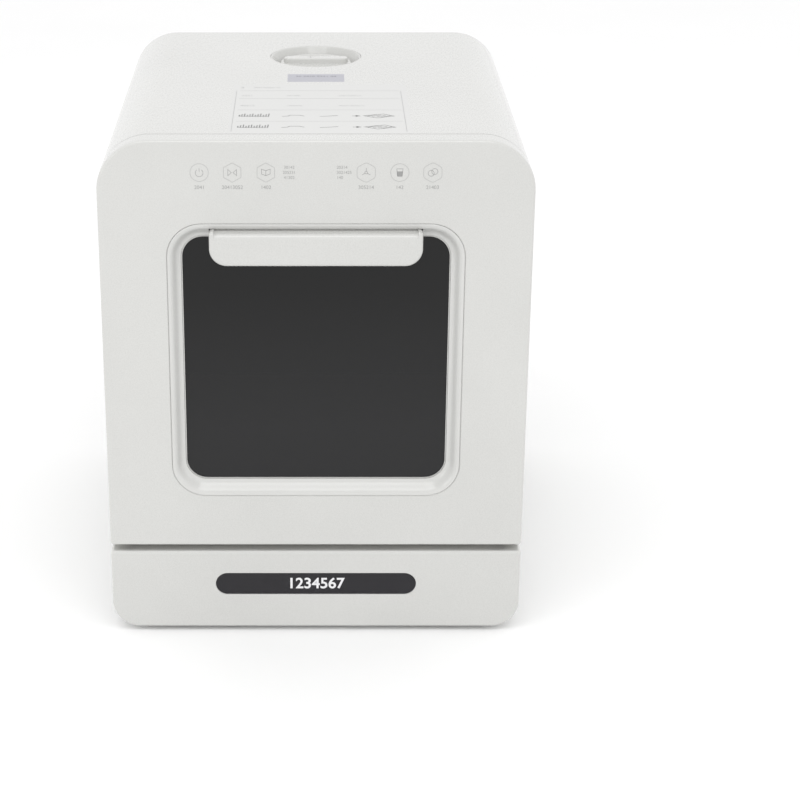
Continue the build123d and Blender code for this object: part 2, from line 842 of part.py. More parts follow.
# Latch: a tongue on the door, and its keeper with the door switch behind the frame
with BuildPart() as latch_tongue:
    with BuildSketch(front_plane(door_back - liner_wall - latch_root)):
        with Locations((0, latch_z)):
            RegularPolygon(latch_root_radius, 8)
    extrude(amount=-latch_root)
    with BuildSketch(front_plane(door_back - liner_wall)):
        with Locations((0, latch_z)):
            disc(latch_radius)
    extrude(amount=-(casing_front + latch_reach - door_back + liner_wall))
save(latch_tongue, "latch_tongue")

with BuildPart() as latch_switch:
    with BuildSketch(front_plane(frame_back)):
        with Locations((0, latch_z)):
            Rectangle(keeper_width, keeper_height)
            bore(latch_hole_radius)
    extrude(amount=-keeper_depth)
    with BuildSketch(front_plane(frame_back + keeper_depth)):
        with Locations((0, latch_z)):
            Rectangle(switch_width, switch_height)
    extrude(amount=-switch_depth)
save(latch_switch, "latch_switch")

# ---------------------------------------------------------------------------- door

window_bottom = door_bottom + window_low
window_top = height - window_drop
window_height = window_top - window_bottom
window_z = (window_bottom + window_top) / 2
notch_half = bracket_thickness / 2 + cheek_gap + cheek_thickness + cheek_gap
notch_high = hinge_z + bracket_height / 2 + 1.5


def window_outline(grow_x, grow_z, radius, seat=Mode.ADD):
    """The window's outline at its place, wider and higher on each side by the given amounts."""
    with Locations((0, window_z)):
        RectangleRounded(window_width + 2 * grow_x, window_height + 2 * grow_z, radius, mode=seat)


# Moulded outer panel: front wall, rim, window opening and the notches for the hinge brackets
with BuildPart() as door_panel:
    with BuildSketch(front_plane(door_face)):
        add(door_outline(0))
    extrude(amount=-door_thickness)
    chamfer(door_panel.faces().sort_by(Axis.Y)[0].edges(), edge_chamfer)
    fillet(door_panel.edges().filter_by(Axis.X).group_by(Axis.Z)[0].sort_by(Axis.Y)[-1], door_heel_round)
    with BuildSketch(front_plane(door_face + panel_wall)):
        add(door_outline(rim_wall))
    extrude(amount=-door_thickness, mode=Mode.SUBTRACT)
    with BuildSketch(front_plane(door_face)):
        window_outline(bevel_width, bevel_height, surround_radius)
    extrude(amount=-panel_wall, mode=Mode.SUBTRACT)
    with BuildSketch(front_plane(door_face + panel_wall)):
        with Locations((-hinge_x, door_bottom), (hinge_x, door_bottom)):
            Rectangle(2 * notch_half, 4 * rim_wall)
    extrude(amount=-door_thickness, mode=Mode.SUBTRACT)
save(door_panel, "door_panel")

# Bevelled surround that holds the glass, with a pocket for the handle's root
handle_low = window_top - handle_drop
handle_high = window_top + handle_rise
with BuildPart() as window_surround:
    with BuildSketch(front_plane(door_face)):
        window_outline(bevel_width - fit, bevel_height - fit, surround_radius - fit)
    extrude(amount=-window_depth)
    with BuildSketch(front_plane(door_face + panel_wall)):
        window_outline(bevel_width + surround_flange, bevel_height + surround_flange, surround_radius)
    extrude(amount=-surround_seat)
    with BuildSketch(front_plane(door_face)):
        window_outline(bevel_width - land, bevel_height - land, surround_radius - land)
    with BuildSketch(front_plane(door_face + window_depth - land)):
        window_outline(0, 0, window_radius)
    loft(mode=Mode.SUBTRACT)
    with BuildSketch(front_plane(door_face)):
        window_outline(0, 0, window_radius)
        with Locations((0, (window_top + handle_high + fit) / 2 - land)):
            Rectangle(handle_width + 2 * fit, handle_high + fit - window_top + 2 * land)
    extrude(amount=-window_depth, mode=Mode.SUBTRACT)
save(window_surround, "window_surround")

with BuildPart() as window_glass:
    with BuildSketch(front_plane(door_face + window_depth)):
        window_outline(glass_lap, glass_lap, window_radius + glass_lap)
    extrude(amount=-glass_thickness)
save(window_glass, "window_glass")

# Handle: a plate with end cheeks over the window's top edge, open below for the fingers
with BuildPart() as door_handle:
    with BuildSketch(front_plane(door_face - handle_proud)):
        add(upright_outline(handle_low, handle_high, handle_width / 2, edge_round + 0.5, handle_radius))
    extrude(amount=-(handle_proud + window_depth))
    chamfer(door_handle.faces().sort_by(Axis.Y)[0].edges(), edge_chamfer)
    with BuildSketch(front_plane(door_face - handle_proud + handle_wall)):
        with Locations((0, window_top - handle_drop)):
            Rectangle(handle_width - 2 * handle_wall, 2 * handle_drop)
    extrude(amount=-(handle_proud + window_depth), mode=Mode.SUBTRACT)
    with BuildSketch(Plane.XY.offset(handle_high - handle_ear)):
        with Locations((0, door_face)):
            Rectangle(handle_width - 2 * handle_wall, 4 * (handle_proud + window_depth))
    extrude(amount=2 * handle_ear, mode=Mode.SUBTRACT)
save(door_handle, "door_handle")

# Inner liner, with the inner window, the latch hole and the slots for the stays
inner_window_height = height - inner_window_drop - door_bottom - inner_window_low
inner_window_z = door_bottom + inner_window_low + inner_window_height / 2
stay_slot_z = hinge_z + stay_radius - 2
stay_slot_x = cheek_outer + cheek_thickness / 2
with BuildPart() as door_liner:
    with BuildSketch(front_plane(door_back - liner_wall)):
        add(door_outline(rim_wall + fit))
        with Locations((0, inner_window_z)):
            RectangleRounded(inner_window_width, inner_window_height, window_radius, mode=Mode.SUBTRACT)
        with Locations((0, latch_z)):
            Circle(latch_radius + fit, mode=Mode.SUBTRACT)
        with Locations((-stay_slot_x, stay_slot_z), (stay_slot_x, stay_slot_z)):
            Rectangle(cheek_thickness + cheek_gap, stay_width + 4, mode=Mode.SUBTRACT)
        with Locations((-hinge_x, door_bottom), (hinge_x, door_bottom)):
            Rectangle(2 * notch_half, 2 * (notch_high - door_bottom), mode=Mode.SUBTRACT)
    extrude(amount=-liner_wall)
    heel_edges = door_liner.edges().filter_by(Axis.X).group_by(Axis.Z)[0].group_by(Axis.Y)[-1]
    chamfer(heel_edges, liner_wall - 0.5)
save(door_liner, "door_liner")

with BuildPart() as inner_glass:
    with BuildSketch(front_plane(door_back - liner_wall - panel_wall)):
        with Locations((0, inner_window_z)):
            RectangleRounded(inner_window_width + 8, inner_window_height + 8, window_radius)
    extrude(amount=-panel_wall)
save(inner_glass, "inner_glass")

# Raised frame that enters the tub's mouth, open at its foot where the wheels roll, and its seal.
# Its top bar butts against the two side bars.
frame_half = tub_half - seal_gap - door_seal_width
frame_low = door_bottom + inner_frame_low
frame_high = tub_high - seal_gap - door_seal_width
with BuildPart() as door_inner_frame:
    with BuildSketch(front_plane(door_back)):
        add(upright_outline(frame_low, frame_high, frame_half, mouth_radius - seal_width))
        with Locations((0, (frame_low + frame_high) / 2 - inner_frame_width)):
            Rectangle(2 * (frame_half - inner_frame_width), frame_high - frame_low, mode=Mode.SUBTRACT)
        with Locations((0, frame_high)):
            with GridLocations(2 * (frame_half - inner_frame_width), 1, 2, 1):
                Rectangle(butt_gap, 4 * inner_frame_width, mode=Mode.SUBTRACT)
    extrude(amount=-inner_frame_height)
save(door_inner_frame, "door_inner_frame")

with BuildPart() as door_gasket:
    with BuildSketch(front_plane(door_back)):
        add(
            upright_outline(
                frame_low,
                frame_high + door_seal_width,
                frame_half + door_seal_width,
                mouth_radius - seal_width + door_seal_width,
            )
        )
        add(
            upright_outline(frame_low, frame_high, frame_half, mouth_radius - seal_width),
            mode=Mode.SUBTRACT,
        )
    extrude(amount=-door_seal_height)
save(door_gasket, "door_gasket")

# Board with the touch keys, behind the front wall
touch_z = height - key_drop
with BuildPart() as touch_board:
    with BuildSketch(front_plane(door_face + panel_wall)):
        with Locations((0, touch_z)):
            Rectangle(key_board_width, key_board_height)
    extrude(amount=-board_wall)
    with BuildSketch(front_plane(door_face + panel_wall + board_wall)):
        with Locations((0, touch_z)):
            Rectangle(key_chip_width, key_chip_height)
    extrude(amount=-key_chip_depth)
save(touch_board, "touch_board")

# ---------------------------------------------------------------------------- wire rack

flat = wire_radius * cos(pi / wire_sides)
lay = 2 * flat - weld
rack_half = rack_width / 2
rack_front = door_back + rack_setback
rack_back = rack_front + rack_length
rail_x = rack_half - flat
rail_front = rack_front + flat
rail_back = rack_back - flat
upright_x = rail_x - lay
upright_front = rail_front + lay
upright_back = rail_back - lay
cross_z = wheel_low + rack_floor_rise
long_z = cross_z + lay
lower_rail_z = wheel_low + lower_rail_rise
upper_rail_z = wheel_low + upper_rail_rise
tall_z = tub_high - tall_frame_drop


def spread(first, last, count):
    """Evenly spaced positions from the first to the last."""
    return [first + (last - first) * step / (count - 1) for step in range(count)]


def bent_wire(points, radius=wire_radius, closed=False):
    """A wire through the points, with mitred bends."""
    start = Vector(*points[0])
    run = Vector(*points[1]) - start
    across = run.cross(Vector(0, 0, 1))
    if across.length < 0.001 * run.length:
        across = Vector(1, 0, 0)
    with BuildPart(Plane.XY, mode=Mode.PRIVATE) as wire:
        with BuildLine():
            Polyline(*points, close=closed)
        with BuildSketch(Plane(origin=start, x_dir=across, z_dir=run)):
            RegularPolygon(radius, wire_sides, rotation=180 / wire_sides)
        sweep(transition=Transition.RIGHT)
    return wire.part


def end_rail(y, inward, z):
    """Rail across one end of the rack, with rounded corners that lead into the side rails."""
    points = []
    for side, turns in ((-1, (0, 30, 60, 90)), (1, (90, 60, 30, 0))):
        bend = [
            (
                side * (rail_x - rack_corner + rack_corner * cos(radians(turn))),
                y + inward * rack_corner * (1 - sin(radians(turn))),
                z,
            )
            for turn in turns
        ]
        points += bend
    lead = inward * (rack_corner + rail_lap)
    return bent_wire([(-rail_x, y + lead, z)] + points + [(rail_x, y + lead, z)])


long_end = rail_x - rack_corner - long_wire_inset
long_x = spread(-long_end, long_end, long_wires)
cross_inset = rack_corner + cross_wire_inset
cross_y = spread(rail_front + cross_inset, rail_back - cross_inset, cross_wires)

floor_grid = [
    bent_wire([(x, upright_front + flat, long_z), (x, upright_back - flat, long_z)]) for x in long_x
]
floor_grid += [
    bent_wire([(flat - upright_x, y, cross_z), (upright_x - flat, y, cross_z)]) for y in cross_y
]
with BuildPart() as rack_floor:
    add(floor_grid)
save(rack_floor, "rack_floor")


def end_wall(y_rail, y_upright, inward):
    """Uprights and two rails across the front or the back of the rack."""
    wires = [end_rail(y_rail, inward, z) for z in (lower_rail_z, upper_rail_z)]
    for x in long_x:
        wires.append(bent_wire([(x, y_upright, long_z - flat), (x, y_upright, upper_rail_z + flat)]))
    return wires


def side_wall(side):
    """Uprights and two rails along one side of the rack."""
    ends = (rail_front + rack_corner + rail_lap, rail_back - rack_corner - rail_lap)
    wires = [
        bent_wire([(side * rail_x, y, z) for y in ends]) for z in (lower_rail_z, upper_rail_z)
    ]
    for y in cross_y[1:-1]:
        wires.append(bent_wire([(side * upright_x, y, z) for z in (cross_z - flat, upper_rail_z + flat)]))
    return wires


rack_walls = {
    "rack_front_wall": end_wall(rail_front, upright_front, 1),
    "rack_rear_wall": end_wall(rail_back, upright_back, -1),
    "rack_left_wall": side_wall(-1),
    "rack_right_wall": side_wall(1),
}
for wall_name, wall_wires in rack_walls.items():
    with BuildPart() as rack_wall:
        add(wall_wires)
    save(rack_wall, wall_name)

# Tall frames on both sides, whose posts stand inside the rails
post_x = rail_x - 2 * flat
post_y = (cross_y[0] - 2 * flat, cross_y[-1] + 2 * flat)
frame_wires = []
for side in (-1, 1):
    for y in post_y:
        frame_wires.append(bent_wire([(side * post_x, y, z) for z in (cross_z - flat, tall_z + flat)]))
    rail_ends = (post_y[0] + flat + butt_gap, post_y[1] - flat - butt_gap)
    for drop in tall_rail_drops + (0,):
        frame_wires.append(bent_wire([(side * post_x, y, tall_z - drop) for y in rail_ends]))
with BuildPart() as side_frames:
    add(frame_wires)
save(side_frames, "side_frames")

# Plate tines in two rows on the left, dog-legged bowl tines in one row on the right
tine_foot = long_z + flat
tine_y = spread(cross_y[0] + tine_inset, cross_y[-1] - tine_inset, tine_count)
plate_pins = [
    bent_wire([(x, y, tine_foot), (x, y, tine_foot + tine_height)]) for x in long_x[1:3] for y in tine_y
]
with BuildPart() as plate_tines:
    add(plate_pins)
save(plate_tines, "plate_tines")

bowl_pins = [
    bent_wire(
        [
            (long_x[4], y, tine_foot),
            (long_x[4], y, tine_foot + 0.3 * tine_height),
            (long_x[4] + bowl_tine_shift, y, tine_foot + 0.6 * tine_height),
            (long_x[4] + bowl_tine_shift, y, tine_foot + tine_height),
        ]
    )
    for y in tine_y
]
with BuildPart() as bowl_tines:
    add(bowl_pins)
save(bowl_tines, "bowl_tines")

# Wheels on bent axles under a runner wire on each side
leg_x = wheel_x - wheel_width / 2 - axle_radius - leg_gap
runner_z = cross_z - 2 * flat
wheel_y = [rack_front + wheel_inset] + [rack_front + wheel_inset + gap for gap in wheel_gaps]
axle_end = wheel_x + wheel_width / 2 + wheel_clearance
axle_wires = []
for side in (-1, 1):
    runner_ends = (wheel_y[0] - runner_lap, wheel_y[-1] + runner_lap)
    axle_wires.append(bent_wire([(side * leg_x, y, runner_z) for y in runner_ends]))
    for y in wheel_y:
        leg_top = (side * leg_x, y, runner_z - flat - butt_gap)
        leg = [leg_top, (side * leg_x, y, wheel_z), (side * axle_end, y, wheel_z)]
        axle_wires.append(bent_wire(leg, radius=axle_radius))
with BuildPart() as wheel_axles:
    add(axle_wires)
    for side in (-1, 1):
        for y in wheel_y:
            with BuildSketch(side_plane(side * axle_end)):
                with Locations((y, wheel_z)):
                    RegularPolygon(axle_cap_radius, 8)
            extrude(amount=side * axle_cap)
save(wheel_axles, "wheel_axles")

for side, side_name in ((-1, "left"), (1, "right")):
    for number, y in enumerate(wheel_y, start=1):
        with BuildPart() as wheel:
            with BuildSketch(side_plane(side * wheel_x)):
                with Locations((y, wheel_z)):
                    disc(wheel_radius)
                    bore(axle_radius + pin_clearance)
            extrude(amount=wheel_width / 2, both=True)
        save(wheel, f"wheel_{side_name}_{number}")

# Small basket hooked over the left side frame
rim_z = tall_z - basket_rim_drop
rim_back = -post_x + 2 * flat + hook_gap
rim_front = rim_back + basket_width
basket_y = (rack_front + rack_back) / 2
rim_half = basket_length / 2
rim_middle = (rim_back + rim_front) / 2
rim_points = [
    (rim_back, basket_y, rim_z),
    (rim_back, basket_y + rim_half - rim_point, rim_z),
    (rim_middle, basket_y + rim_half, rim_z),
    (rim_front, basket_y + rim_half - rim_point, rim_z),
    (rim_front, basket_y - rim_half + rim_point, rim_z),
    (rim_middle, basket_y - rim_half, rim_z),
    (rim_back, basket_y - rim_half + rim_point, rim_z),
]
basket_wires = [bent_wire(rim_points, closed=True)]
hoop_reach = rim_half - rim_point - hoop_inset
for y in spread(basket_y - hoop_reach, basket_y + hoop_reach, basket_hoops):
    basket_wires.append(
        bent_wire(
            [
                (rim_back, y, rim_z),
                (rim_back + 0.1 * basket_width, y, rim_z - basket_depth),
                (rim_front - 0.18 * basket_width, y, rim_z - basket_depth),
                (rim_front - 0.04 * basket_width, y, rim_z - 0.7 * basket_depth),
                (rim_front, y, rim_z),
            ]
        )
    )
for x in spread(rim_back + 0.2 * basket_width, rim_front - 0.3 * basket_width, 3):
    z = rim_z - basket_depth + lay
    basket_wires.append(bent_wire([(x, basket_y + end * (hoop_reach + rail_lap), z) for end in (-1, 1)]))
hook_top = tall_z + 2 * flat + hang_gap
hook_out = -post_x - 2 * flat - hook_gap
hook_reach = hoop_reach - hook_inset
for y in spread(basket_y - hook_reach, basket_y + hook_reach, hook_count):
    basket_wires.append(
        bent_wire(
            [
                (rim_back, y, rim_z),
                (rim_back, y, hook_top),
                (hook_out, y, hook_top),
                (hook_out, y, hook_top - hook_drop),
            ]
        )
    )
with BuildPart() as upper_basket:
    add(basket_wires)
save(upper_basket, "upper_basket")

# ---------------------------------------------------------------------------- pumps and pipes

pump_y = filter_y
with BuildPart() as wash_pump:
    with BuildSketch(side_plane(port_end)):
        with Locations((pump_y, port_z)):
            disc(wash_pump_radius)
    extrude(amount=volute_length)
    with BuildSketch(side_plane(port_end + volute_length)):
        with Locations((pump_y, port_z)):
            disc(0.8 * wash_pump_radius)
    extrude(amount=wash_pump_length - volute_length)
save(wash_pump, "wash_pump")

with BuildPart() as drain_pump:
    with BuildSketch(side_plane(-port_end)):
        with Locations((pump_y, port_z)):
            disc(drain_pump_radius)
    extrude(amount=-volute_length)
    with BuildSketch(side_plane(-port_end - volute_length)):
        with Locations((pump_y, port_z)):
            disc(0.8 * drain_pump_radius)
    extrude(amount=volute_length - drain_pump_length)
save(drain_pump, "drain_pump")

# Heater in the pipe from the wash pump to the spray hub
heater_x = port_end + volute_length / 2
heater_start = pump_y + wash_pump_radius
hub_pipe_low = basin_top - basin_wall - hub_pipe_length
heater_route = [
    (heater_x, heater_start, port_z),
    (heater_x, spray_y, port_z),
    (0, spray_y, port_z),
    (0, spray_y, hub_pipe_low),
]
heater_pipe = bent_wire(heater_route, radius=pipe_radius)
heater_ends = (heater_start + heater_gap, spray_y - 2 * heater_gap)
heater_body = bent_wire([(heater_x, y, port_z) for y in heater_ends], radius=heater_radius)
with BuildPart() as flow_heater:
    add([heater_pipe, heater_body])
save(flow_heater, "flow_heater")

# Drain hose from the pump to the spigot in the rear cover
drain_start = (-heater_x, pump_y + drain_pump_radius, port_z)
drain_route = [
    drain_start,
    (-heater_x, pump_y + 4 * drain_pump_radius, port_z),
    (drain_x, cup_back - hose_lead, connector_z),
    (drain_x, cup_back, connector_z),
]
drain_pipe = bent_wire(drain_route, radius=pipe_radius)
with BuildPart() as drain_hose:
    add(drain_pipe)
    with BuildSketch(front_plane(cup_back)):
        with Locations((drain_x, connector_z)):
            disc(neck_radius)
    extrude(amount=-(rear_wall + neck_reach))
    with BuildSketch(front_plane(cup_face + neck_reach)):
        with Locations((drain_x, connector_z)):
            Circle(spigot_radius)
    extrude(amount=-(cup_depth - neck_reach - spigot_setback))
    with BuildSketch(front_plane(rear_face)):
        with Locations((drain_x, connector_z)):
            disc(hose_bore)
    extrude(amount=cup_depth, mode=Mode.SUBTRACT)
save(drain_hose, "drain_hose")

with BuildPart() as inlet_valve:
    with BuildSketch(front_plane(cup_back)):
        with Locations((inlet_x, connector_z + valve_rise)):
            Rectangle(valve_width, valve_height)
    extrude(amount=valve_depth)
    with BuildSketch(front_plane(cup_back)):
        with Locations((inlet_x, connector_z)):
            disc(neck_radius)
    extrude(amount=-(rear_wall + neck_reach))
    with BuildSketch(front_plane(cup_face + neck_reach)):
        with Locations((inlet_x, connector_z)):
            Circle(spigot_radius)
    extrude(amount=-(cup_depth - neck_reach - spigot_setback))
save(inlet_valve, "inlet_valve")

with BuildPart() as power_gland:
    with BuildSketch(front_plane(cup_back)):
        with Locations((gland_x, connector_z)):
            RegularPolygon(spigot_radius + gland_flange, 6)
    extrude(amount=gland_flange)
    with BuildSketch(front_plane(cup_back)):
        with Locations((gland_x, connector_z)):
            disc(spigot_radius)
    extrude(amount=-(cup_depth + rear_wall - gland_setback))
    with BuildSketch(front_plane(cup_back - gland_flange)):
        with Locations((gland_x, connector_z)):
            Circle(cord_radius)
    extrude(amount=-2 * cup_depth, mode=Mode.SUBTRACT)
save(power_gland, "power_gland")

board_z = step_low + casing_wall + board_standoff
board_y = rear_face - board_setback
with BuildPart() as control_board:
    with BuildSketch(Plane.XY.offset(board_z)):
        with Locations((board_x, board_y)):
            Rectangle(board_length, board_width)
    extrude(amount=board_wall)
    with BuildSketch(Plane.XY.offset(board_z + board_wall)):
        with Locations((board_x + relay_x, board_y)):
            Rectangle(relay_length, relay_width)
    extrude(amount=relay_height)
    with BuildSketch(Plane.XY.offset(board_z + board_wall)):
        with Locations((board_x + chip_x, board_y)):
            with GridLocations(chip_pitch, relay_width, 3, 2):
                Rectangle(chip_length, chip_width)
    extrude(amount=chip_height)
    with BuildSketch(Plane.XY.offset(board_z)):
        with Locations((board_x, board_y)):
            with GridLocations(board_length - 2 * stud_inset, board_width - 2 * stud_inset, 2, 2):
                Rectangle(stud_size, stud_size)
    extrude(amount=step_low + casing_wall - board_z)
save(control_board, "control_board")

# ---------------------------------------------------------------------------- tank, filler and cap

filler_y = door_face + filler_inset
tank_front = tub_back + tub_wall
tank_back = tank_front + tank_thickness
tank_low = open_door_level
shelf_low = tub_high + tub_wall
tank_high = height - casing_wall - tank_drop
shelf_front = filler_y - tank_neck - shelf_lead


def tank_profile(inset):
    """The tank from the side: upright behind the tub, with a shelf forward over it."""
    with BuildSketch(Plane.XY, mode=Mode.PRIVATE) as profile:
        with BuildLine():
            Polyline(
                (tank_front + inset, tank_low + inset),
                (tank_back - inset, tank_low + inset),
                (tank_back - inset, tank_high - inset),
                (shelf_front + inset, tank_high - inset),
                (shelf_front + inset, shelf_low + inset),
                (tank_front + inset, shelf_low + inset),
                close=True,
            )
        make_face()
    return profile.sketch


with BuildPart() as water_tank:
    with BuildSketch(side_plane(-tank_width / 2)):
        add(tank_profile(0))
    extrude(amount=tank_width)
    with BuildSketch(side_plane(tank_wall - tank_width / 2)):
        add(tank_profile(tank_wall))
    extrude(amount=tank_width - 2 * tank_wall, mode=Mode.SUBTRACT)
    with BuildSketch(Plane.XY.offset(tank_high)):
        with Locations((0, filler_y)):
            RegularPolygon(tank_neck + fit, round_sides, major_radius=False)
    extrude(amount=-2 * tank_wall, mode=Mode.SUBTRACT)
save(water_tank, "water_tank")

dish_z = height - filler_depth
port_flange = 2 * (filler_radius + filler_wall + flange_lap)
with BuildPart() as fill_port:
    with BuildSketch(Plane.XY.offset(dish_z - filler_wall)):
        with Locations((0, filler_y)):
            disc(filler_radius + filler_wall - fit, wide_round_sides)
    extrude(amount=filler_depth + filler_wall)
    with BuildSketch(Plane.XY.offset(height - casing_wall - port_wall)):
        with Locations((0, filler_y)):
            Rectangle(port_flange, port_flange)
    extrude(amount=port_wall)
    with BuildSketch(Plane.XY.offset(dish_z)):
        with Locations((0, filler_y)):
            disc(filler_radius, wide_round_sides)
    extrude(amount=filler_depth, mode=Mode.SUBTRACT)
    with BuildSketch(Plane.XY.offset(dish_z)):
        with Locations((0, filler_y)):
            disc(tank_neck)
    extrude(amount=tank_high - tank_wall - dish_z)
    with BuildSketch(Plane.XY.offset(height)):
        with Locations((0, filler_y)):
            disc(plug_radius + 2 * hang_gap)
    extrude(amount=tank_high - 2 * tank_wall - height, mode=Mode.SUBTRACT)
save(fill_port, "fill_port")

# The plug lifts out, and the knob turns on the plug's spigot
plug_seat = dish_z + hang_gap
knob_low = plug_seat + plug_flange + hang_gap
with BuildPart() as fill_cap_plug:
    with BuildSketch(Plane.XY.offset(plug_seat)):
        with Locations((0, filler_y)):
            disc(plug_radius)
    extrude(amount=-plug_depth)
    with BuildSketch(Plane.XY.offset(plug_seat)):
        with Locations((0, filler_y)):
            disc(plug_radius + plug_lap)
    extrude(amount=plug_flange)
    with BuildSketch(Plane.XY.offset(plug_seat + plug_flange)):
        with Locations((0, filler_y)):
            disc(arm_spigot_radius)
    extrude(amount=spigot_height)
save(fill_cap_plug, "fill_cap_plug")

with BuildPart() as fill_cap_knob:
    with BuildSketch(Plane.XY.offset(knob_low)):
        with Locations((0, filler_y)):
            disc(cap_radius, wide_round_sides)
    extrude(amount=cap_thickness)
    with BuildSketch(Plane.XY.offset(knob_low)):
        with Locations((0, filler_y)):
            RegularPolygon(arm_spigot_radius + pin_clearance, round_sides, major_radius=False)
    extrude(amount=spigot_height, mode=Mode.SUBTRACT)
    with BuildSketch(Plane.XY.offset(knob_low + cap_thickness)):
        with Locations((0, filler_y)):
            SlotOverall(2 * (cap_radius - grip_inset), grip_width)
    extrude(amount=height - grip_drop - knob_low - cap_thickness)
save(fill_cap_knob, "fill_cap_knob")

# ---------------------------------------------------------------------------- vent and fan

with BuildPart() as side_vent_grille:
    with BuildSketch(side_plane(side_half)):
        with Locations((vent_y, vent_height)):
            disc(vent_radius)
            RegularPolygon(vent_hole, 6, mode=Mode.SUBTRACT)
            for ring_radius, ring_count in ((vent_radius / 3, 6), (2 * vent_radius / 3, 12)):
                with PolarLocations(ring_radius, ring_count):
                    RegularPolygon(vent_hole, 6, mode=Mode.SUBTRACT)
    extrude(amount=-casing_wall)
save(side_vent_grille, "side_vent_grille")

fan_face = inner_half
fan_rear = fan_face - fan_depth
with BuildPart() as fan_housing:
    with BuildSketch(side_plane(fan_face)):
        with Locations((vent_y, vent_height)):
            Rectangle(fan_size, fan_size)
            bore(fan_radius + fan_gap)
    extrude(amount=-fan_depth)
    with BuildSketch(side_plane(fan_rear)):
        with Locations((vent_y, vent_height)):
            Rectangle(fan_size, strut_width)
            Rectangle(strut_width, fan_size)
            RegularPolygon(fan_hub_radius, 8)
    extrude(amount=strut_depth)
    with BuildSketch(side_plane(fan_rear)):
        with Locations((vent_y, vent_height)):
            Circle(fan_axle)
    extrude(amount=fan_depth - duct_wall)
    with BuildSketch(side_plane(fan_rear)):
        with Locations((vent_y, vent_height)):
            Rectangle(2 * duct_half, 2 * duct_half)
            Rectangle(2 * (duct_half - duct_wall), 2 * (duct_half - duct_wall), mode=Mode.SUBTRACT)
    extrude(amount=tub_half + tub_wall - fan_rear)
save(fan_housing, "fan_housing")

impeller_low = fan_rear + strut_depth + hang_gap
with BuildPart() as fan_impeller:
    with BuildSketch(side_plane(impeller_low)):
        with Locations((vent_y, vent_height)):
            Circle(fan_hub_radius)
            with PolarLocations(0, fan_blades):
                with Locations(((fan_radius + fan_hub_radius) / 2 - blade_wall, 0)):
                    Rectangle(fan_radius - fan_hub_radius + blade_wall, blade_wall)
            Circle(fan_axle + pin_clearance, mode=Mode.SUBTRACT)
    extrude(amount=blade_depth)
save(fan_impeller, "fan_impeller")
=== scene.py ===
"""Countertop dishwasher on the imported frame. Sizes are in millimetres and become metres in the meshes."""

import json
from math import cos, pi, radians, sin

import bmesh
import bpy
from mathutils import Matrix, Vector


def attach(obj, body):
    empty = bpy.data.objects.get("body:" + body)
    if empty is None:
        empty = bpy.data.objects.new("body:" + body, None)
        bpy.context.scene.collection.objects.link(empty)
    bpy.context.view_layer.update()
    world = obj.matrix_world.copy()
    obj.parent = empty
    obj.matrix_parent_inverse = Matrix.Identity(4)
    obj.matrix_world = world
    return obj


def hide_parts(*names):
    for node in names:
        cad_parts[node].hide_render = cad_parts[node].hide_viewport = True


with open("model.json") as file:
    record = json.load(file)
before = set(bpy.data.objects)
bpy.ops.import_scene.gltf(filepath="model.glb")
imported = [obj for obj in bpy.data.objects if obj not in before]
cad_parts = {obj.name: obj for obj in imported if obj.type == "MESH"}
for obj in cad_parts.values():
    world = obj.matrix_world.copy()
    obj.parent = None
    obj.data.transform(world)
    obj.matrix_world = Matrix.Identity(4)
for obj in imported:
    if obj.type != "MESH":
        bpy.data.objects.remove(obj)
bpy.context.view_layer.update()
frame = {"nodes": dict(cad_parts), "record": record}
nodes = frame["nodes"]

MM = 0.001
corner_steps = 20  # points round each rounded corner

# ---------------------------------------------------------------- sizes of the CAD model
half = 182.5
height = 457.5
foot_top = 4.0
door_face = -198.0
door_back = -178.0
casing_front = -176.8
frame_back = -173.8
rear_face = 206.0
door_low = 86.0
base_top = 80.0
top_corner = 44.0
low_corner = 25.0
edge_round = 2.5
panel_wall = 3.0
rim_wall = 2.5
casing_wall = 2.5
window_half = 113.0
window_low = 148.4
window_high = 372.0
window_radius = 18.0
glass_y = -188.0
bevel_side = 12.5
bevel_end = 13.5
surround_radius = 29.5
land = 1.0
handle_half = 89.5
handle_low = 350.5
handle_high = 380.5
handle_front = -206.0
handle_wall = 4.0
pill_half = 89.5
pill_low = 37.15
pill_high = 58.25
key_z = 430.2
key_places = (-96.6, -69.3, -41.5, 41.5, 69.3, 96.6)
filler_y = 102.0
vent_y = 50.2
vent_z = 335.0
hinge_x = 164.9


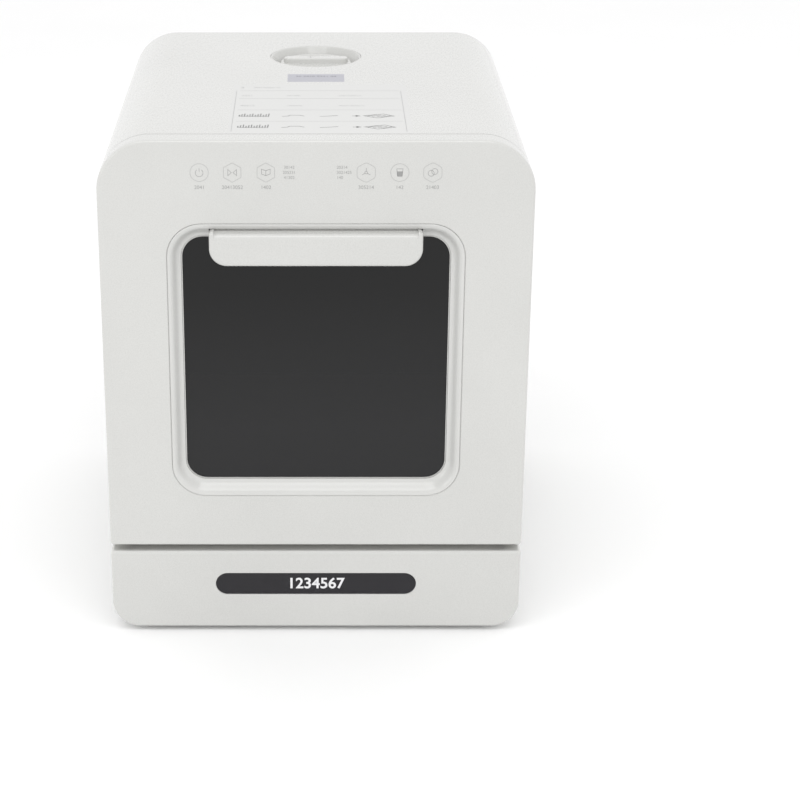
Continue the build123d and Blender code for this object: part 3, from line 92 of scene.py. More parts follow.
# ---------------------------------------------------------------- materials
def procedural(
    name, colour, roughness, metallic=0.0, tint=0.02, cloud=9.0, grain=1400.0,
    spread=0.05, relief=0.00001, stretch=(1, 1, 1), coat=0.0, specular=0.5, painted_reflection=None,
):
    """Material with a slight colour drift, uneven gloss and a fine surface grain, all from noise. When heights are
    given, the colour runs with height instead, as a painted reflection: darker at the top and lighter towards the
    bottom.
    """
    made = bpy.data.materials.new(name)
    made.use_nodes = True
    tree = made.node_tree
    shader = tree.nodes["Principled BSDF"]
    shader.inputs["Metallic"].default_value = metallic
    shader.inputs["Coat Weight"].default_value = coat
    shader.inputs["Coat Roughness"].default_value = 0.08
    shader.inputs["Specular IOR Level"].default_value = specular
    place = tree.nodes.new("ShaderNodeTexCoord")
    mapping = tree.nodes.new("ShaderNodeMapping")
    mapping.inputs["Scale"].default_value = stretch
    tree.links.new(place.outputs["Object"], mapping.inputs["Vector"])

    drift = tree.nodes.new("ShaderNodeTexNoise")
    drift.inputs["Scale"].default_value = cloud
    drift.inputs["Detail"].default_value = 3.0
    tree.links.new(mapping.outputs["Vector"], drift.inputs["Vector"])
    ramp = tree.nodes.new("ShaderNodeValToRGB")
    ramp.color_ramp.elements[0].position = 0.3
    ramp.color_ramp.elements[1].position = 0.7
    ramp.color_ramp.elements[0].color = (*[c * (1 - tint) for c in colour], 1)
    ramp.color_ramp.elements[1].color = (*[min(1.0, c * (1 + tint)) for c in colour], 1)
    # Painted reflection: the colour is set by height, darker at the top and lighter towards the bottom.
    if painted_reflection:
        split = tree.nodes.new("ShaderNodeSeparateXYZ")
        tree.links.new(place.outputs["Object"], split.inputs["Vector"])
        level = tree.nodes.new("ShaderNodeMapRange")
        level.inputs["From Min"].default_value = painted_reflection[1]
        level.inputs["From Max"].default_value = painted_reflection[0]
        tree.links.new(split.outputs["Z"], level.inputs["Value"])
        tree.links.new(level.outputs["Result"], ramp.inputs["Fac"])
    else:
        tree.links.new(drift.outputs["Fac"], ramp.inputs["Fac"])
    tree.links.new(ramp.outputs["Color"], shader.inputs["Base Color"])

    fine = tree.nodes.new("ShaderNodeTexNoise")
    fine.inputs["Scale"].default_value = grain
    fine.inputs["Detail"].default_value = 2.0
    tree.links.new(mapping.outputs["Vector"], fine.inputs["Vector"])
    gloss = tree.nodes.new("ShaderNodeMapRange")
    gloss.inputs["From Min"].default_value = 0.3
    gloss.inputs["From Max"].default_value = 0.7
    gloss.inputs["To Min"].default_value = max(0.02, roughness - spread)
    gloss.inputs["To Max"].default_value = min(1.0, roughness + spread)
    tree.links.new(fine.outputs["Fac"], gloss.inputs["Value"])
    tree.links.new(gloss.outputs["Result"], shader.inputs["Roughness"])
    bump = tree.nodes.new("ShaderNodeBump")
    bump.inputs["Strength"].default_value = 0.4
    bump.inputs["Distance"].default_value = relief
    tree.links.new(fine.outputs["Fac"], bump.inputs["Height"])
    tree.links.new(bump.outputs["Normal"], shader.inputs["Normal"])
    return made


materials = {
    "white_shell": procedural("white_shell", (0.585, 0.585, 0.567), 0.28, relief=0.0000015, coat=0.7),
    "cream_frame": procedural("cream_frame", (0.58, 0.545, 0.495), 0.42),
    # Bevel white is the shell's white plastic painted a little lighter: painted light that lifts the shade in the
    # hollow bevel.
    "bevel_white": procedural("bevel_white", (0.60, 0.60, 0.583), 0.24, relief=0.0000015, coat=0.7),
    # Dark glass with a painted reflection: its colour is darker at the top and lighter towards the bottom.
    "dark_glass": procedural(
        "dark_glass", (0.008, 0.008, 0.0085), 0.06, tint=0.6, spread=0.02, relief=0.000001, specular=0.33,
        painted_reflection=(0.10, 0.42),
    ),
    "black_gloss": procedural(
        "black_gloss", (0.010, 0.009, 0.012), 0.10, spread=0.03, relief=0.000001, specular=0.42
    ),
    "liner_grey": procedural("liner_grey", (0.17, 0.176, 0.162), 0.5, tint=0.05, relief=0.00003),
    "light_grey": procedural("light_grey", (0.40, 0.40, 0.39), 0.45),
    "black_rubber": procedural("black_rubber", (0.018, 0.018, 0.018), 0.62, tint=0.1, relief=0.00003),
    "tub_black": procedural("tub_black", (0.020, 0.020, 0.021), 0.22, tint=0.08),
    "coated_wire": procedural("coated_wire", (0.10, 0.092, 0.082), 0.32, 0.3, 0.06, 30, 1500, 0.06),
    "wheel_black": procedural("wheel_black", (0.024, 0.024, 0.026), 0.42, tint=0.1, relief=0.00002),
    "arm_grey": procedural("arm_grey", (0.26, 0.27, 0.28), 0.42, tint=0.04, relief=0.00002),
    "hinge_steel": procedural(
        "hinge_steel", (0.50, 0.50, 0.50), 0.36, 1.0, 0.04, 12, 500, 0.08, 0.00002, (1, 1, 0.1)
    ),
    "pump_grey": procedural("pump_grey", (0.10, 0.10, 0.11), 0.5, tint=0.06, relief=0.00003),
    "board_green": procedural("board_green", (0.02, 0.11, 0.05), 0.35, tint=0.12, cloud=60.0),
    "tank_white": procedural("tank_white", (0.60, 0.62, 0.62), 0.4),
    "screw_steel": procedural("screw_steel", (0.55, 0.55, 0.55), 0.3, 1.0, 0.05, 40, 900, 0.06),
    "key_outline": procedural("key_outline", (0.41, 0.41, 0.40), 0.5, cloud=40.0),
    "key_print": procedural("key_print", (0.31, 0.31, 0.305), 0.5, cloud=40.0),
    # White print for the display numbers, also used for the painted highlight ring by the tub seal.
    "white_print_and_highlight": procedural("white_print_and_highlight", (0.78, 0.78, 0.79), 0.5, cloud=40.0),
    "film": procedural("film", (0.62, 0.62, 0.61), 0.14, tint=0.01),
    "film_print": procedural("film_print", (0.11, 0.11, 0.11), 0.4, cloud=40.0),
    "film_line": procedural("film_line", (0.36, 0.36, 0.36), 0.4, cloud=40.0),
    "strip": procedural("strip", (0.42, 0.42, 0.465), 0.35, tint=0.03, cloud=40.0),
    "strip_print": procedural("strip_print", (0.20, 0.20, 0.23), 0.4, cloud=40.0),
}


# ---------------------------------------------------------------- mesh helpers
def ring(points, y):
    """Upright ring at depth y from points seen from the front."""
    return [(x, y, z) for x, z in points]


def outline(half_width, low, high, upper, lower):
    """Rounded rectangle seen from the front, with the same number of points for every size."""
    corners = (
        (half_width - upper, high - upper, upper, 0),
        (upper - half_width, high - upper, upper, 90),
        (lower - half_width, low + lower, lower, 180),
        (half_width - lower, low + lower, lower, 270),
    )
    points = []
    for x, z, radius, start in corners:
        for step in range(corner_steps + 1):
            turn = radians(start + 90 * step / corner_steps)
            points.append((x + radius * cos(turn), z + radius * sin(turn)))
    return points


def quarter(radius, steps=5):
    """Steps of a rounded edge: how far it is drawn in, and how far behind the face it lies."""
    turns = [pi / 2 * step / steps for step in range(steps + 1)]
    return [(radius * (1 - cos(turn)), radius * (1 - sin(turn))) for turn in turns]


def skin(rings, loop=False):
    """Faces that join rings of equally many points. A loop also joins the last ring to the first."""
    count = len(rings[0])
    points = [point for one in rings for point in one]
    pairs = [(low, low + 1) for low in range(len(rings) - 1)]
    if loop:
        pairs.append((len(rings) - 1, 0))
    faces = [
        (low * count + k, low * count + (k + 1) % count, high * count + (k + 1) % count, high * count + k)
        for low, high in pairs
        for k in range(count)
    ]
    if not loop:
        faces.append(tuple(range(count)))
        faces.append(tuple(range((len(rings) - 1) * count, len(rings) * count)))
    return points, faces


def solid(name, points, faces):
    """New mesh object, with double points merged and its normals outside."""
    mesh = bpy.data.meshes.new(name)
    mesh.from_pydata([Vector(point) * MM for point in points], [], faces)
    tidy = bmesh.new()
    tidy.from_mesh(mesh)
    bmesh.ops.remove_doubles(tidy, verts=tidy.verts, dist=1e-7)
    bmesh.ops.dissolve_degenerate(tidy, edges=tidy.edges, dist=1e-7)
    bmesh.ops.recalc_face_normals(tidy, faces=tidy.faces)
    tidy.to_mesh(mesh)
    tidy.free()
    made = bpy.data.objects.new(name, mesh)
    bpy.context.scene.collection.objects.link(made)
    return made


def turned(name, profile, centre, axis, sides=64):
    """Lathed solid from a closed profile of (radius, place along the axis)."""
    rings = []
    for step in range(sides):
        turn = 2 * pi * step / sides
        one = []
        for radius, along in profile:
            u, v = radius * cos(turn), radius * sin(turn)
            x, y, z = centre
            if axis == "X":
                one.append((x + along, y + u, z + v))
            elif axis == "Y":
                one.append((x + u, y + along, z + v))
            else:
                one.append((x + u, y + v, z + along))
        rings.append(one)
    return solid(name, *skin(rings, loop=True))


def block(x, y, z):
    """Plain cutting tool between two values on each axis."""
    points = [(x[i], y[j], z[k]) for i in (0, 1) for j in (0, 1) for k in (0, 1)]
    faces = [(0, 1, 3, 2), (4, 6, 7, 5), (0, 4, 5, 1), (2, 3, 7, 6), (0, 2, 6, 4), (1, 5, 7, 3)]
    return solid("cutter", points, faces)


def bake(piece):
    """Turns the modifiers into mesh."""
    bpy.context.view_layer.update()
    graph = bpy.context.evaluated_depsgraph_get()
    old = piece.data
    fresh = bpy.data.meshes.new_from_object(piece.evaluated_get(graph))
    piece.modifiers.clear()
    piece.data = fresh
    bpy.data.meshes.remove(old)
    fresh.name = piece.name


def cut(piece, *tools):
    """Takes the tools away from the piece."""
    for tool in tools:
        change = piece.modifiers.new("cut", "BOOLEAN")
        change.operation = "DIFFERENCE"
        change.solver = "EXACT"
        change.object = tool
    bake(piece)
    for tool in tools:
        mesh = tool.data
        bpy.data.objects.remove(tool)
        bpy.data.meshes.remove(mesh)


def soften(piece, width, segments=3):
    """Small round on all edges that aren't part of a curved face already."""
    change = piece.modifiers.new("soften", "BEVEL")
    change.width = width * MM
    change.segments = segments
    change.limit_method = "ANGLE"
    change.angle_limit = radians(32)
    change.use_clamp_overlap = True
    change.miter_outer = "MITER_ARC"
    bake(piece)


def settle(piece, body, slot, covers=(), look=None, smooth=36):
    """Shading, material (by look, else by slot name), hiding of replaced nodes and body of a finished piece."""
    if piece.type == "MESH":
        piece.data.polygons.foreach_set("use_smooth", [True] * len(piece.data.polygons))
        piece.data.set_sharp_from_angle(angle=radians(smooth))
        piece.modifiers.new("flats", "WEIGHTED_NORMAL").keep_sharp = True
    piece.data.materials.clear()
    piece.data.materials.append(materials[look or slot])
    if covers:
        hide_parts(*covers)
    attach(piece, body)
    return piece


def refined(node, body, slot, width=0.4, look=None):
    """Copy of a CAD node with its flats merged and its edges softened."""
    mesh = nodes[node].data.copy()
    tidy = bmesh.new()
    tidy.from_mesh(mesh)
    bmesh.ops.remove_doubles(tidy, verts=tidy.verts, dist=2e-6)
    bmesh.ops.dissolve_limit(
        tidy, angle_limit=radians(1), use_dissolve_boundaries=False, verts=tidy.verts, edges=tidy.edges
    )
    bmesh.ops.recalc_face_normals(tidy, faces=tidy.faces)
    tidy.to_mesh(mesh)
    tidy.free()
    if mesh.has_custom_normals:
        mesh.attributes.remove(mesh.attributes["custom_normal"])
    piece = bpy.data.objects.new(node + "_fine", mesh)
    bpy.context.scene.collection.objects.link(piece)
    if width:
        soften(piece, width, 2)
    return settle(piece, body, slot, (node,), look)


# ---------------------------------------------------------------- outer casing
def casing_wall_section(inset_top):
    """Cross-section of the wrapped sheet: outside and inside, open below."""
    outer = outline(half, foot_top, height - inset_top, top_corner, low_corner)
    inner = outline(
        half - casing_wall, foot_top + casing_wall, height - casing_wall,
        top_corner - casing_wall, low_corner - casing_wall,
    )
    first = 3 * (corner_steps + 1)
    outer = outer[first:] + outer[:first]
    inner = inner[first:] + inner[:first]
    return outer + inner[::-1]


section = casing_wall_section(0.06)
casing = solid("casing", *skin([ring(section, casing_front), ring(section, rear_face)]))
step_points = [(-21.0, -2.0), (-21.0, 3.9)]
for step in range(17):
    share = step / 16
    step_points.append((-20 + 51 * share, 4 + 6 * (1 - cos(pi * share))))
step_points += [(rear_face + 2, 16.0), (rear_face + 2, -2.0)]
step_cutter = solid("cutter", *skin([[(x, y, z) for y, z in step_points] for x in (-half - 2, half + 2)]))
filler_cutter = turned("cutter", [(0, 450), (43.45, 450), (43.45, 460), (0, 460)], (0, filler_y, 0), "Z", 96)
vent_cutter = turned("cutter", [(0, 175), (17.0, 175), (17.0, 186), (0, 186)], (0, vent_y, vent_z), "X", 64)
cut(casing, step_cutter, filler_cutter, vent_cutter)
soften(casing, 0.6)
settle(casing, "cabinet", "white_shell", ("outer_casing",))

# Vent: round grille with rings of small holes
grille = turned("vent_grille", [(0, -2.5), (16.96, -2.5), (16.96, -0.1), (16.86, 0), (0, 0)], (half, vent_y, vent_z), "X")
hole_places = [(0, 0)]
for ring_radius, ring_count in ((17 / 3, 6), (34 / 3, 12)):
    for number in range(ring_count):
        turn = 2 * pi * number / ring_count
        hole_places.append((ring_radius * cos(turn), ring_radius * sin(turn)))
hole_profile = [(0, -4), (1.55, -4), (1.55, 2), (0, 2)]
cut(grille, *[turned("cutter", hole_profile, (half, vent_y + u, vent_z + v), "X", 20) for u, v in hole_places])
settle(grille, "cabinet", "white_shell", ("side_vent_grille",))

# Fill port with its round dish, and the cap in it
port = turned(
    "filler_dish",
    [
        (20.6, -34.2), (20.6, -12.6), (21.2, -12.0), (34.6, -12.0), (35.8, -11.6), (36.6, -10.7), (41.7, -0.9),
        (42.0, -0.4), (42.4, -0.1), (42.9, -0.05), (43.3, -0.5), (43.3, -14.5), (22.0, -14.5), (22.0, -34.2),
    ],
    (0, filler_y, height), "Z", 96,
)
settle(port, "cabinet", "white_shell", ("fill_port",))
knob_low = 447.6
knob = turned(
    "cap_disc",
    [
        (6.1, 0), (33.2, 0), (33.8, 0.5), (34.0, 1.2), (34.0, 3.4), (33.6, 4.4), (32.6, 4.95), (30.5, 5.0),
        (29.6, 4.4), (28.6, 4.2), (0, 4.2), (0, 2.5), (6.1, 2.5),
    ],
    (0, filler_y, knob_low), "Z", 96,
)


def slot_outline(reach, radius, z):
    """Slot shape seen from above, round its middle."""
    points = []
    for side, start in ((1, -90), (-1, 90)):
        for step in range(corner_steps + 1):
            turn = radians(start + 180 * step / corner_steps)
            points.append((side * (reach - radius) + radius * cos(turn), filler_y + radius * sin(turn), z))
    return points


grip_rings = [slot_outline(31.0, 6.0, knob_low + 3.6), slot_outline(31.0, 5.6, knob_low + 4.4)]
for inset, back in quarter(1.6):
    grip_rings.append(slot_outline(30.6 - inset, 5.2 - inset, 456.7 - back))
grip = solid("cap_grip", *skin(grip_rings))
settle(knob, "fill_knob", "white_shell", ("fill_cap_knob",))
settle(grip, "fill_knob", "white_shell", ("fill_cap_knob",))
mark = block((-5.6, -4.6), (filler_y - 3.2, filler_y + 3.2), (456.4, 456.74))
mark.name = "cap_mark"
settle(mark, "fill_knob", "arm_grey", look="key_print")


# ---------------------------------------------------------------- door
def door_outline(inset, heel=0.0):
    return outline(half - inset, door_low + inset + heel, height - inset, top_corner - inset, 2.7 - inset)


def window(grow_x, grow_z, radius):
    return outline(window_half + grow_x, window_low - grow_z, window_high + grow_z, radius, radius)


rings = []
for step in range(7):
    turn = radians(15 * step)
    rings.append(ring(door_outline(0, 4.5 * (1 - sin(turn))), door_back - 4.5 * (1 - cos(turn))))
for inset, back in quarter(edge_round):
    rings.append(ring(door_outline(inset), door_face + back))
for inset, back in quarter(0.6, 3):
    rings.append(ring(window(bevel_side + 0.6 - inset, bevel_end + 0.6 - inset, surround_radius + 0.6 - inset), door_face + 0.6 - back))
rings.append(ring(window(bevel_side, bevel_end, surround_radius), door_face + panel_wall))
rings.append(ring(door_outline(rim_wall), door_face + panel_wall))
rings.append(ring(door_outline(rim_wall), door_back - 0.6))
rings.append(ring(door_outline(rim_wall, 2.2), door_back))
door = solid("door_shell", *skin(rings, loop=True))
cut(door, *[block((x - 5.2, x + 5.2), (-195, -170), (80, 91)) for x in (-hinge_x, hinge_x)])
settle(door, "door", "white_shell", ("door_panel",))

# Hollow bevel round the glass
lip = 1.1
rings = [ring(window(0, 0, window_radius), glass_y - 0.3)]
for inset, back in quarter(lip, 4)[::-1]:
    rings.append(ring(window(lip - inset, lip - inset, window_radius + lip - inset), glass_y - 0.3 - lip + back))
for step in range(11):
    share = step / 10
    y = glass_y - 1.4 - 8.6 * (share - 0.12 * sin(2 * pi * share))
    grow_x = lip + (bevel_side - land - lip) * share
    grow_z = lip + (bevel_end - land - lip) * share
    radius = window_radius + lip + (surround_radius - land - lip - window_radius) * share
    rings.append(ring(window(grow_x, grow_z, radius), y))
rings.append(ring(window(bevel_side - 0.6, bevel_end - 0.6, surround_radius - 0.6), door_face))
rings.append(ring(window(bevel_side - 0.2, bevel_end - 0.2, surround_radius - 0.2), door_face + 0.4))
rings.append(ring(window(bevel_side - 0.2, bevel_end - 0.2, surround_radius - 0.2), door_face + panel_wall))
rings.append(ring(window(bevel_side + 5, bevel_end + 5, surround_radius), door_face + panel_wall + 0.02))
rings.append(ring(window(bevel_side + 5, bevel_end + 5, surround_radius), door_face + panel_wall + 2))
rings.append(ring(window(1.5, 1.5, window_radius + 1.5), glass_y))
rings.append(ring(window(0, 0, window_radius), glass_y))
surround = solid("window_bevel", *skin(rings, loop=True))
cut(
    surround,
    block((-89.7, 89.7), (-199, -187), (370, 379.5)),
    block((-89.7, -85.3), (-199, -187), (375, 380.7)),
    block((85.3, 89.7), (-199, -187), (375, 380.7)),
)
settle(surround, "door", "bevel_white", ("window_surround",))

glass = solid(
    "front_glass",
    *skin([ring(window(6, 6, window_radius + 6), y) for y in (glass_y, glass_y + 4)]),
)
soften(glass, 0.4)
settle(glass, "door", "dark_glass", ("window_glass",))


def handle_outline(inset):
    return outline(handle_half - inset, handle_low + inset, handle_high - inset, 3 - inset, 15 - inset)


rings = [ring(handle_outline(0), glass_y)]
for inset, back in quarter(edge_round):
    rings.append(ring(handle_outline(inset), handle_front + back))
handle = solid("handle", *skin(rings))
inner_half = handle_half - handle_wall
trim_height = handle_high - 1.2
trim_points = [(glass_y, 392.0), (glass_y, trim_height + 0.5)]
for inset, back in quarter(4.6, 10):
    trim_points.append((handle_front + back, trim_height - 0.7 - inset))
trim_points += [(-215, trim_height - 5.3), (-215, 392.0)]
top_trim = solid("cutter", *skin([[(x, y, z) for y, z in trim_points] for x in (-inner_half, inner_half)]))
cut(
    handle,
    block((-inner_half, inner_half), (handle_front + handle_wall, -180), (330, window_high)),
    top_trim,
)
soften(handle, 0.5)
settle(handle, "door", "white_shell", ("door_handle",))


# Printed keys: outlines, symbols and small numbers, sunk into the face by most of their thickness
def stroke(points, closed=False, width=0.42):
    """Flat printed line through (x, z) points, as the rings of a thin bar."""
    count = len(points)
    left, right = [], []
    for k, (x, z) in enumerate(points):
        before = points[(k - 1) % count] if closed or k > 0 else (2 * x - points[1][0], 2 * z - points[1][1])
        after = points[(k + 1) % count] if closed or k < count - 1 else (2 * x - before[0], 2 * z - before[1])
        first = (Vector((x, z)) - Vector(before)).normalized()
        second = (Vector(after) - Vector((x, z))).normalized()
        middle = first + second
        if middle.length < 1e-6:
            middle = first
        middle.normalize()
        side = Vector((-middle.y, middle.x))
        reach = width / 2 / max(0.35, side.dot(Vector((-first.y, first.x))))
        left.append((x + side.x * reach, z + side.y * reach))
        right.append((x - side.x * reach, z - side.y * reach))
    return left, right


def on_front(y):
    """Places printed points on an upright face."""
    return lambda u, v, lift: (u, y - lift, v)


def on_top(z):
    """Places printed points on a level face."""
    return lambda u, v, lift: (u, v, z + lift)


def print_mesh(name, strokes, fills, place, body, slot, look, width=0.42, lift=0.05):
    """One thin mesh from printed lines and filled outlines."""
    points, faces = [], []
    sink = -0.1
    for line, closed in strokes:
        left, right = stroke(line, closed, width)
        base = len(points)
        count = len(left)
        for (lx, lz), (rx, rz) in zip(left, right):
            points += [place(lx, lz, lift), place(rx, rz, lift), place(rx, rz, sink), place(lx, lz, sink)]
        spans = count if closed else count - 1
        for k in range(spans):
            a, b = base + 4 * k, base + 4 * ((k + 1) % count)
            for edge in range(4):
                nxt = (edge + 1) % 4
                faces.append((a + edge, a + nxt, b + nxt, b + edge))
        if not closed:
            faces.append((base, base + 1, base + 2, base + 3))
            last = base + 4 * (count - 1)
            faces.append((last, last + 1, last + 2, last + 3))
    for shape in fills:
        base = len(points)
        count = len(shape)
        points += [place(x, z, lift) for x, z in shape] + [place(x, z, sink) for x, z in shape]
        faces.append(tuple(range(base, base + count)))
        faces.append(tuple(range(base + count, base + 2 * count)))
        for k in range(count):
            n = (k + 1) % count
            faces.append((base + k, base + n, base + count + n, base + count + k))
    return settle(solid(name, points, faces), body, slot, look=look)


def arc(x, z, radius, start, end, steps=20):
    turns = [radians(start + (end - start) * k / steps) for k in range(steps + 1)]
    return [(x + radius * cos(t), z + radius * sin(t)) for t in turns]


def circle(x, z, radius, steps=40):
    return arc(x, z, radius, 0, 360 - 360 / steps, steps - 1)


def rounded_hexagon(x, z, radius, corner):
    """Hexagon with points at the top and the bottom."""
    points = []
    reach = radius - corner
    for k in range(6):
        turn = 90 + 60 * k
        middle_x, middle_z = x + reach * cos(radians(turn)), z + reach * sin(radians(turn))
        points += arc(middle_x, middle_z, corner, turn - 30, turn + 30, 5)
    return points


x1, x2, x3, x4, x5, x6 = key_places
z = key_z
key_outlines = [circle(x, z, 7.6) for x in (x1, x5)]
key_outlines += [rounded_hexagon(x, z, 8.2, 1.0) for x in (x2, x3)]
key_outlines += [rounded_hexagon(x, z, 8.2, 3.6) for x in (x4, x6)]
key_symbols = [
    (arc(x1, z - 0.3, 3.2, 125, 415), False),
    ([(x1, z + 0.6), (x1, z + 3.8)], False),
    ([(x2 - 3.6, z + 2.6), (x2 - 0.7, z), (x2 - 3.6, z - 2.6)], True),
    ([(x2 + 3.6, z + 2.6), (x2 + 0.7, z), (x2 + 3.6, z - 2.6)], True),
    ([(x3, z - 2.6), (x3 - 3.6, z - 1.2), (x3 - 3.6, z + 3.0), (x3, z + 1.6)], False),
    ([(x3, z - 2.6), (x3 + 3.6, z - 1.2), (x3 + 3.6, z + 3.0), (x3, z + 1.6)], False),
    ([(x3, z + 1.6), (x3, z - 2.6)], False),
    (circle(x4, z, 1.1, 20), True),
    ([(x5 - 2.6, z + 3.2), (x5 - 1.9, z - 3.2), (x5 + 1.9, z - 3.2), (x5 + 2.6, z + 3.2)], True),
    (circle(x6 - 1.4, z - 0.6, 2.5), True),
    (circle(x6 + 1.6, z + 0.9, 2.5), True),
]
for turn in (90, 210, 330):
    near = (x4 + 1.1 * cos(radians(turn)), z + 1.1 * sin(radians(turn)))
    far = (x4 + 4.0 * cos(radians(turn)), z + 4.0 * sin(radians(turn)))
    key_symbols.append(([near, far], False))
tumbler = [(x5 - 2.3, z + 1.0), (x5 - 1.9, z - 3.0), (x5 + 1.9, z - 3.0), (x5 + 2.3, z + 1.0)]
front = on_front(door_face)
print_mesh("key_outlines", [(line, True) for line in key_outlines], [], front, "door", "light_grey", "key_outline")
print_mesh("key_symbols", key_symbols, [tumbler], front, "door", "light_grey", "key_print")


def numbers(name, text, size, place, body, slot, look, level=False, side="CENTER", lift=0.04, bold=0.0):
    """Printed numbers on an upright or a level face, read from the front."""
    curve = bpy.data.curves.new(name, "FONT")
    curve.body = text
    curve.size = size * MM
    curve.align_x = side
    curve.align_y = "CENTER"
    curve.extrude = lift * MM
    curve.offset = bold * MM
    piece = bpy.data.objects.new(name, curve)
    bpy.context.scene.collection.objects.link(piece)
    piece.rotation_euler = (0 if level else pi / 2, 0, 0)
    piece.location = Vector(place) * MM
    return settle(piece, body, slot, look=look)


key_numbers = ("2041", "20413052", "1402", "305214", "142", "21403")
for number, (x, digits) in enumerate(zip(key_places, key_numbers), start=1):
    numbers(f"key_number_{number}", digits, 4.4, (x, door_face, 417.4), "door", "light_grey", "key_print")
for number, digits in enumerate(("30142", "205231", "41302"), start=1):
    row_z = 439.0 - 4.4 * number
    numbers(f"row_left_{number}", digits, 3.6, (-22.2, door_face, row_z), "door", "light_grey", "key_print")
for number, digits in enumerate(("20314", "3021425", "140"), start=1):
    row_z = 439.0 - 4.4 * number
    numbers(
        f"row_right_{number}", digits, 3.6, (17.0, door_face, row_z), "door", "light_grey", "key_print", side="LEFT"
    )


# ---------------------------------------------------------------- printed film and strip on the top
film_top = height - 0.03
for name, x, y, slot, look in (
    ("top_film", (-74, 81), (-176, -9), "white_shell", "film"),
    ("top_strip", (-26, 26), (1, 30), "arm_grey", "strip"),
):
    plate = block(x, y, (film_top - 0.06, film_top))
    plate.name = name
    settle(plate, "cabinet", slot, look=look)
table = [([(-68, y), (74, y)], False) for y in (-137, -99.4, -60, -32)]
table += [([(x, -170), (x, -32)], False) for x in (-71, 76)]
print_mesh("film_table", table, [], on_top(film_top), "cabinet", "light_grey", "film_line", 0.5, 0.02)
pictures = []
for y in (-157, -121):
    pictures.append(([(-66, y), (-40.4, y - 1)], False))
    pictures += [([(-66 + 2.3 * k, y), (-65.6 + 2.3 * k, y + 5 + 2 * (k % 3))], False) for k in range(12)]
    pictures.append(([(-29, y), (-24, y + 1), (-22, y + 4), (-14, y + 4), (-10, y + 1)], False))
    pictures.append(([(3.4, y), (11, y + 1), (18.8, y + 3)], False))
    pictures.append(([(31, y + 1.5), (35.5, y + 1.5)], False))
    pictures.append(([(41, y + 2), (52, y - 5), (67, y + 1), (58, y + 8)], True))
    pictures += [([(44 + 4 * k, y + 1 - 1.2 * k), (52 + 4 * k, y + 6 - 1.2 * k)], False) for k in range(4)]
arrows = [[(34, y - 1), (38.5, y + 1.5), (34, y + 4)] for y in (-157, -121)]
print_mesh("film_pictures", pictures, arrows, on_top(film_top), "cabinet", "light_grey", "film_print", 0.9, 0.025)
film_rows = (
    ("40213", -66, -85, 5.0), ("2031", -66, -50, 5.0), ("3", -68, -21, 7.0), ("204130524120", -56, -21, 4.0),
    ("1402305", -26, -85, 4.0), ("241302", -26, -50, 4.0), ("30241302514", 20, -85, 4.0), ("2401352410", 20, -50, 4.0),
)
for number, (digits, x, y, size) in enumerate(film_rows, start=1):
    numbers(
        f"film_row_{number}", digits, size, (x, y, film_top), "cabinet", "light_grey", "film_line",
        level=True, side="LEFT", lift=0.02,
    )
numbers(
    "strip_row", "30 2410 5231 04", 5.5, (0, 21.5, film_top), "cabinet", "light_grey", "strip_print",
    level=True, lift=0.02, bold=0.1,
)

# ---------------------------------------------------------------- base panel with the display
def base_outline(inset):
    return outline(half - inset, foot_top + inset, base_top - inset, 2.7 - inset, low_corner - inset)


def pill(grow):
    radius = (pill_high - pill_low) / 2 + grow
    return outline(pill_half + grow, pill_low - grow, pill_high + grow, radius, radius)


rings = [ring(base_outline(0), casing_front)]
for inset, back in quarter(edge_round):
    rings.append(ring(base_outline(inset), door_face + back))
rings.append(ring(pill(0.4), door_face))
rings.append(ring(pill(0.1), door_face + 0.12))
rings.append(ring(pill(0), door_face + 0.4))
rings.append(ring(pill(0), door_face + panel_wall))
rings.append(ring(base_outline(rim_wall), door_face + panel_wall))
rings.append(ring(base_outline(rim_wall), casing_front))
base_panel = solid("base_panel", *skin(rings, loop=True))
settle(base_panel, "cabinet", "white_shell", ("base_front_panel",))

lens_rings = [ring(pill(2.5), door_face + 4.5), ring(pill(2.5), door_face + 3.05), ring(pill(-0.2), door_face + 3.0)]
for inset, back in quarter(0.5, 3):
    lens_rings.append(ring(pill(-0.2 - inset), door_face + 0.2 + back))
lens = solid("display_window", *skin(lens_rings))
settle(lens, "cabinet", "black_gloss", ("display_lens",))
numbers(
    "display_numbers", "1234567", 14.6, (0, door_face + 0.18, 47.6), "cabinet", "white_shell", "white_print_and_highlight",
    bold=0.28,
)

# ---------------------------------------------------------------- round wires of the rack
wire_flat = 1.6 * cos(pi / 8)
wire_lay = 2 * wire_flat - 0.2
wire_radius = 1.52
wheel_low = 103.8
wheel_z = 117.3
rail_x = 131 - wire_flat
upright_x = rail_x - wire_lay
post_x = rail_x - 2 * wire_flat
rail_front = -153 + wire_flat
rail_back = 112 - wire_flat
upright_front = rail_front + wire_lay
upright_back = rail_back - wire_lay
cross_z = wheel_low + 31.5
long_z = cross_z + wire_lay
lower_rail = wheel_low + 67
upper_rail = wheel_low + 117
tall_z = 361.8
tine_foot = long_z + wire_flat


def spread_out(first, last, count):
    return [first + (last - first) * step / (count - 1) for step in range(count)]


long_x = spread_out(-(rail_x - 24), rail_x - 24, 7)
cross_y = spread_out(rail_front + 26, rail_back - 26, 8)


def bent(points, bend, closed=False):
    """The points with an arc in place of each corner."""
    count = len(points)
    result = []
    for k in range(count):
        here = Vector(points[k])
        if not closed and k in (0, count - 1):
            result.append(here)
            continue
        before, after = Vector(points[k - 1]), Vector(points[(k + 1) % count])
        reach = min(bend, 0.45 * (before - here).length, 0.45 * (after - here).length)
        start = here + (before - here).normalized() * reach
        end = here + (after - here).normalized() * reach
        for step in range(6):
            share = step / 5
            result.append(start * (1 - share) ** 2 + here * 2 * share * (1 - share) + end * share ** 2)
    return result


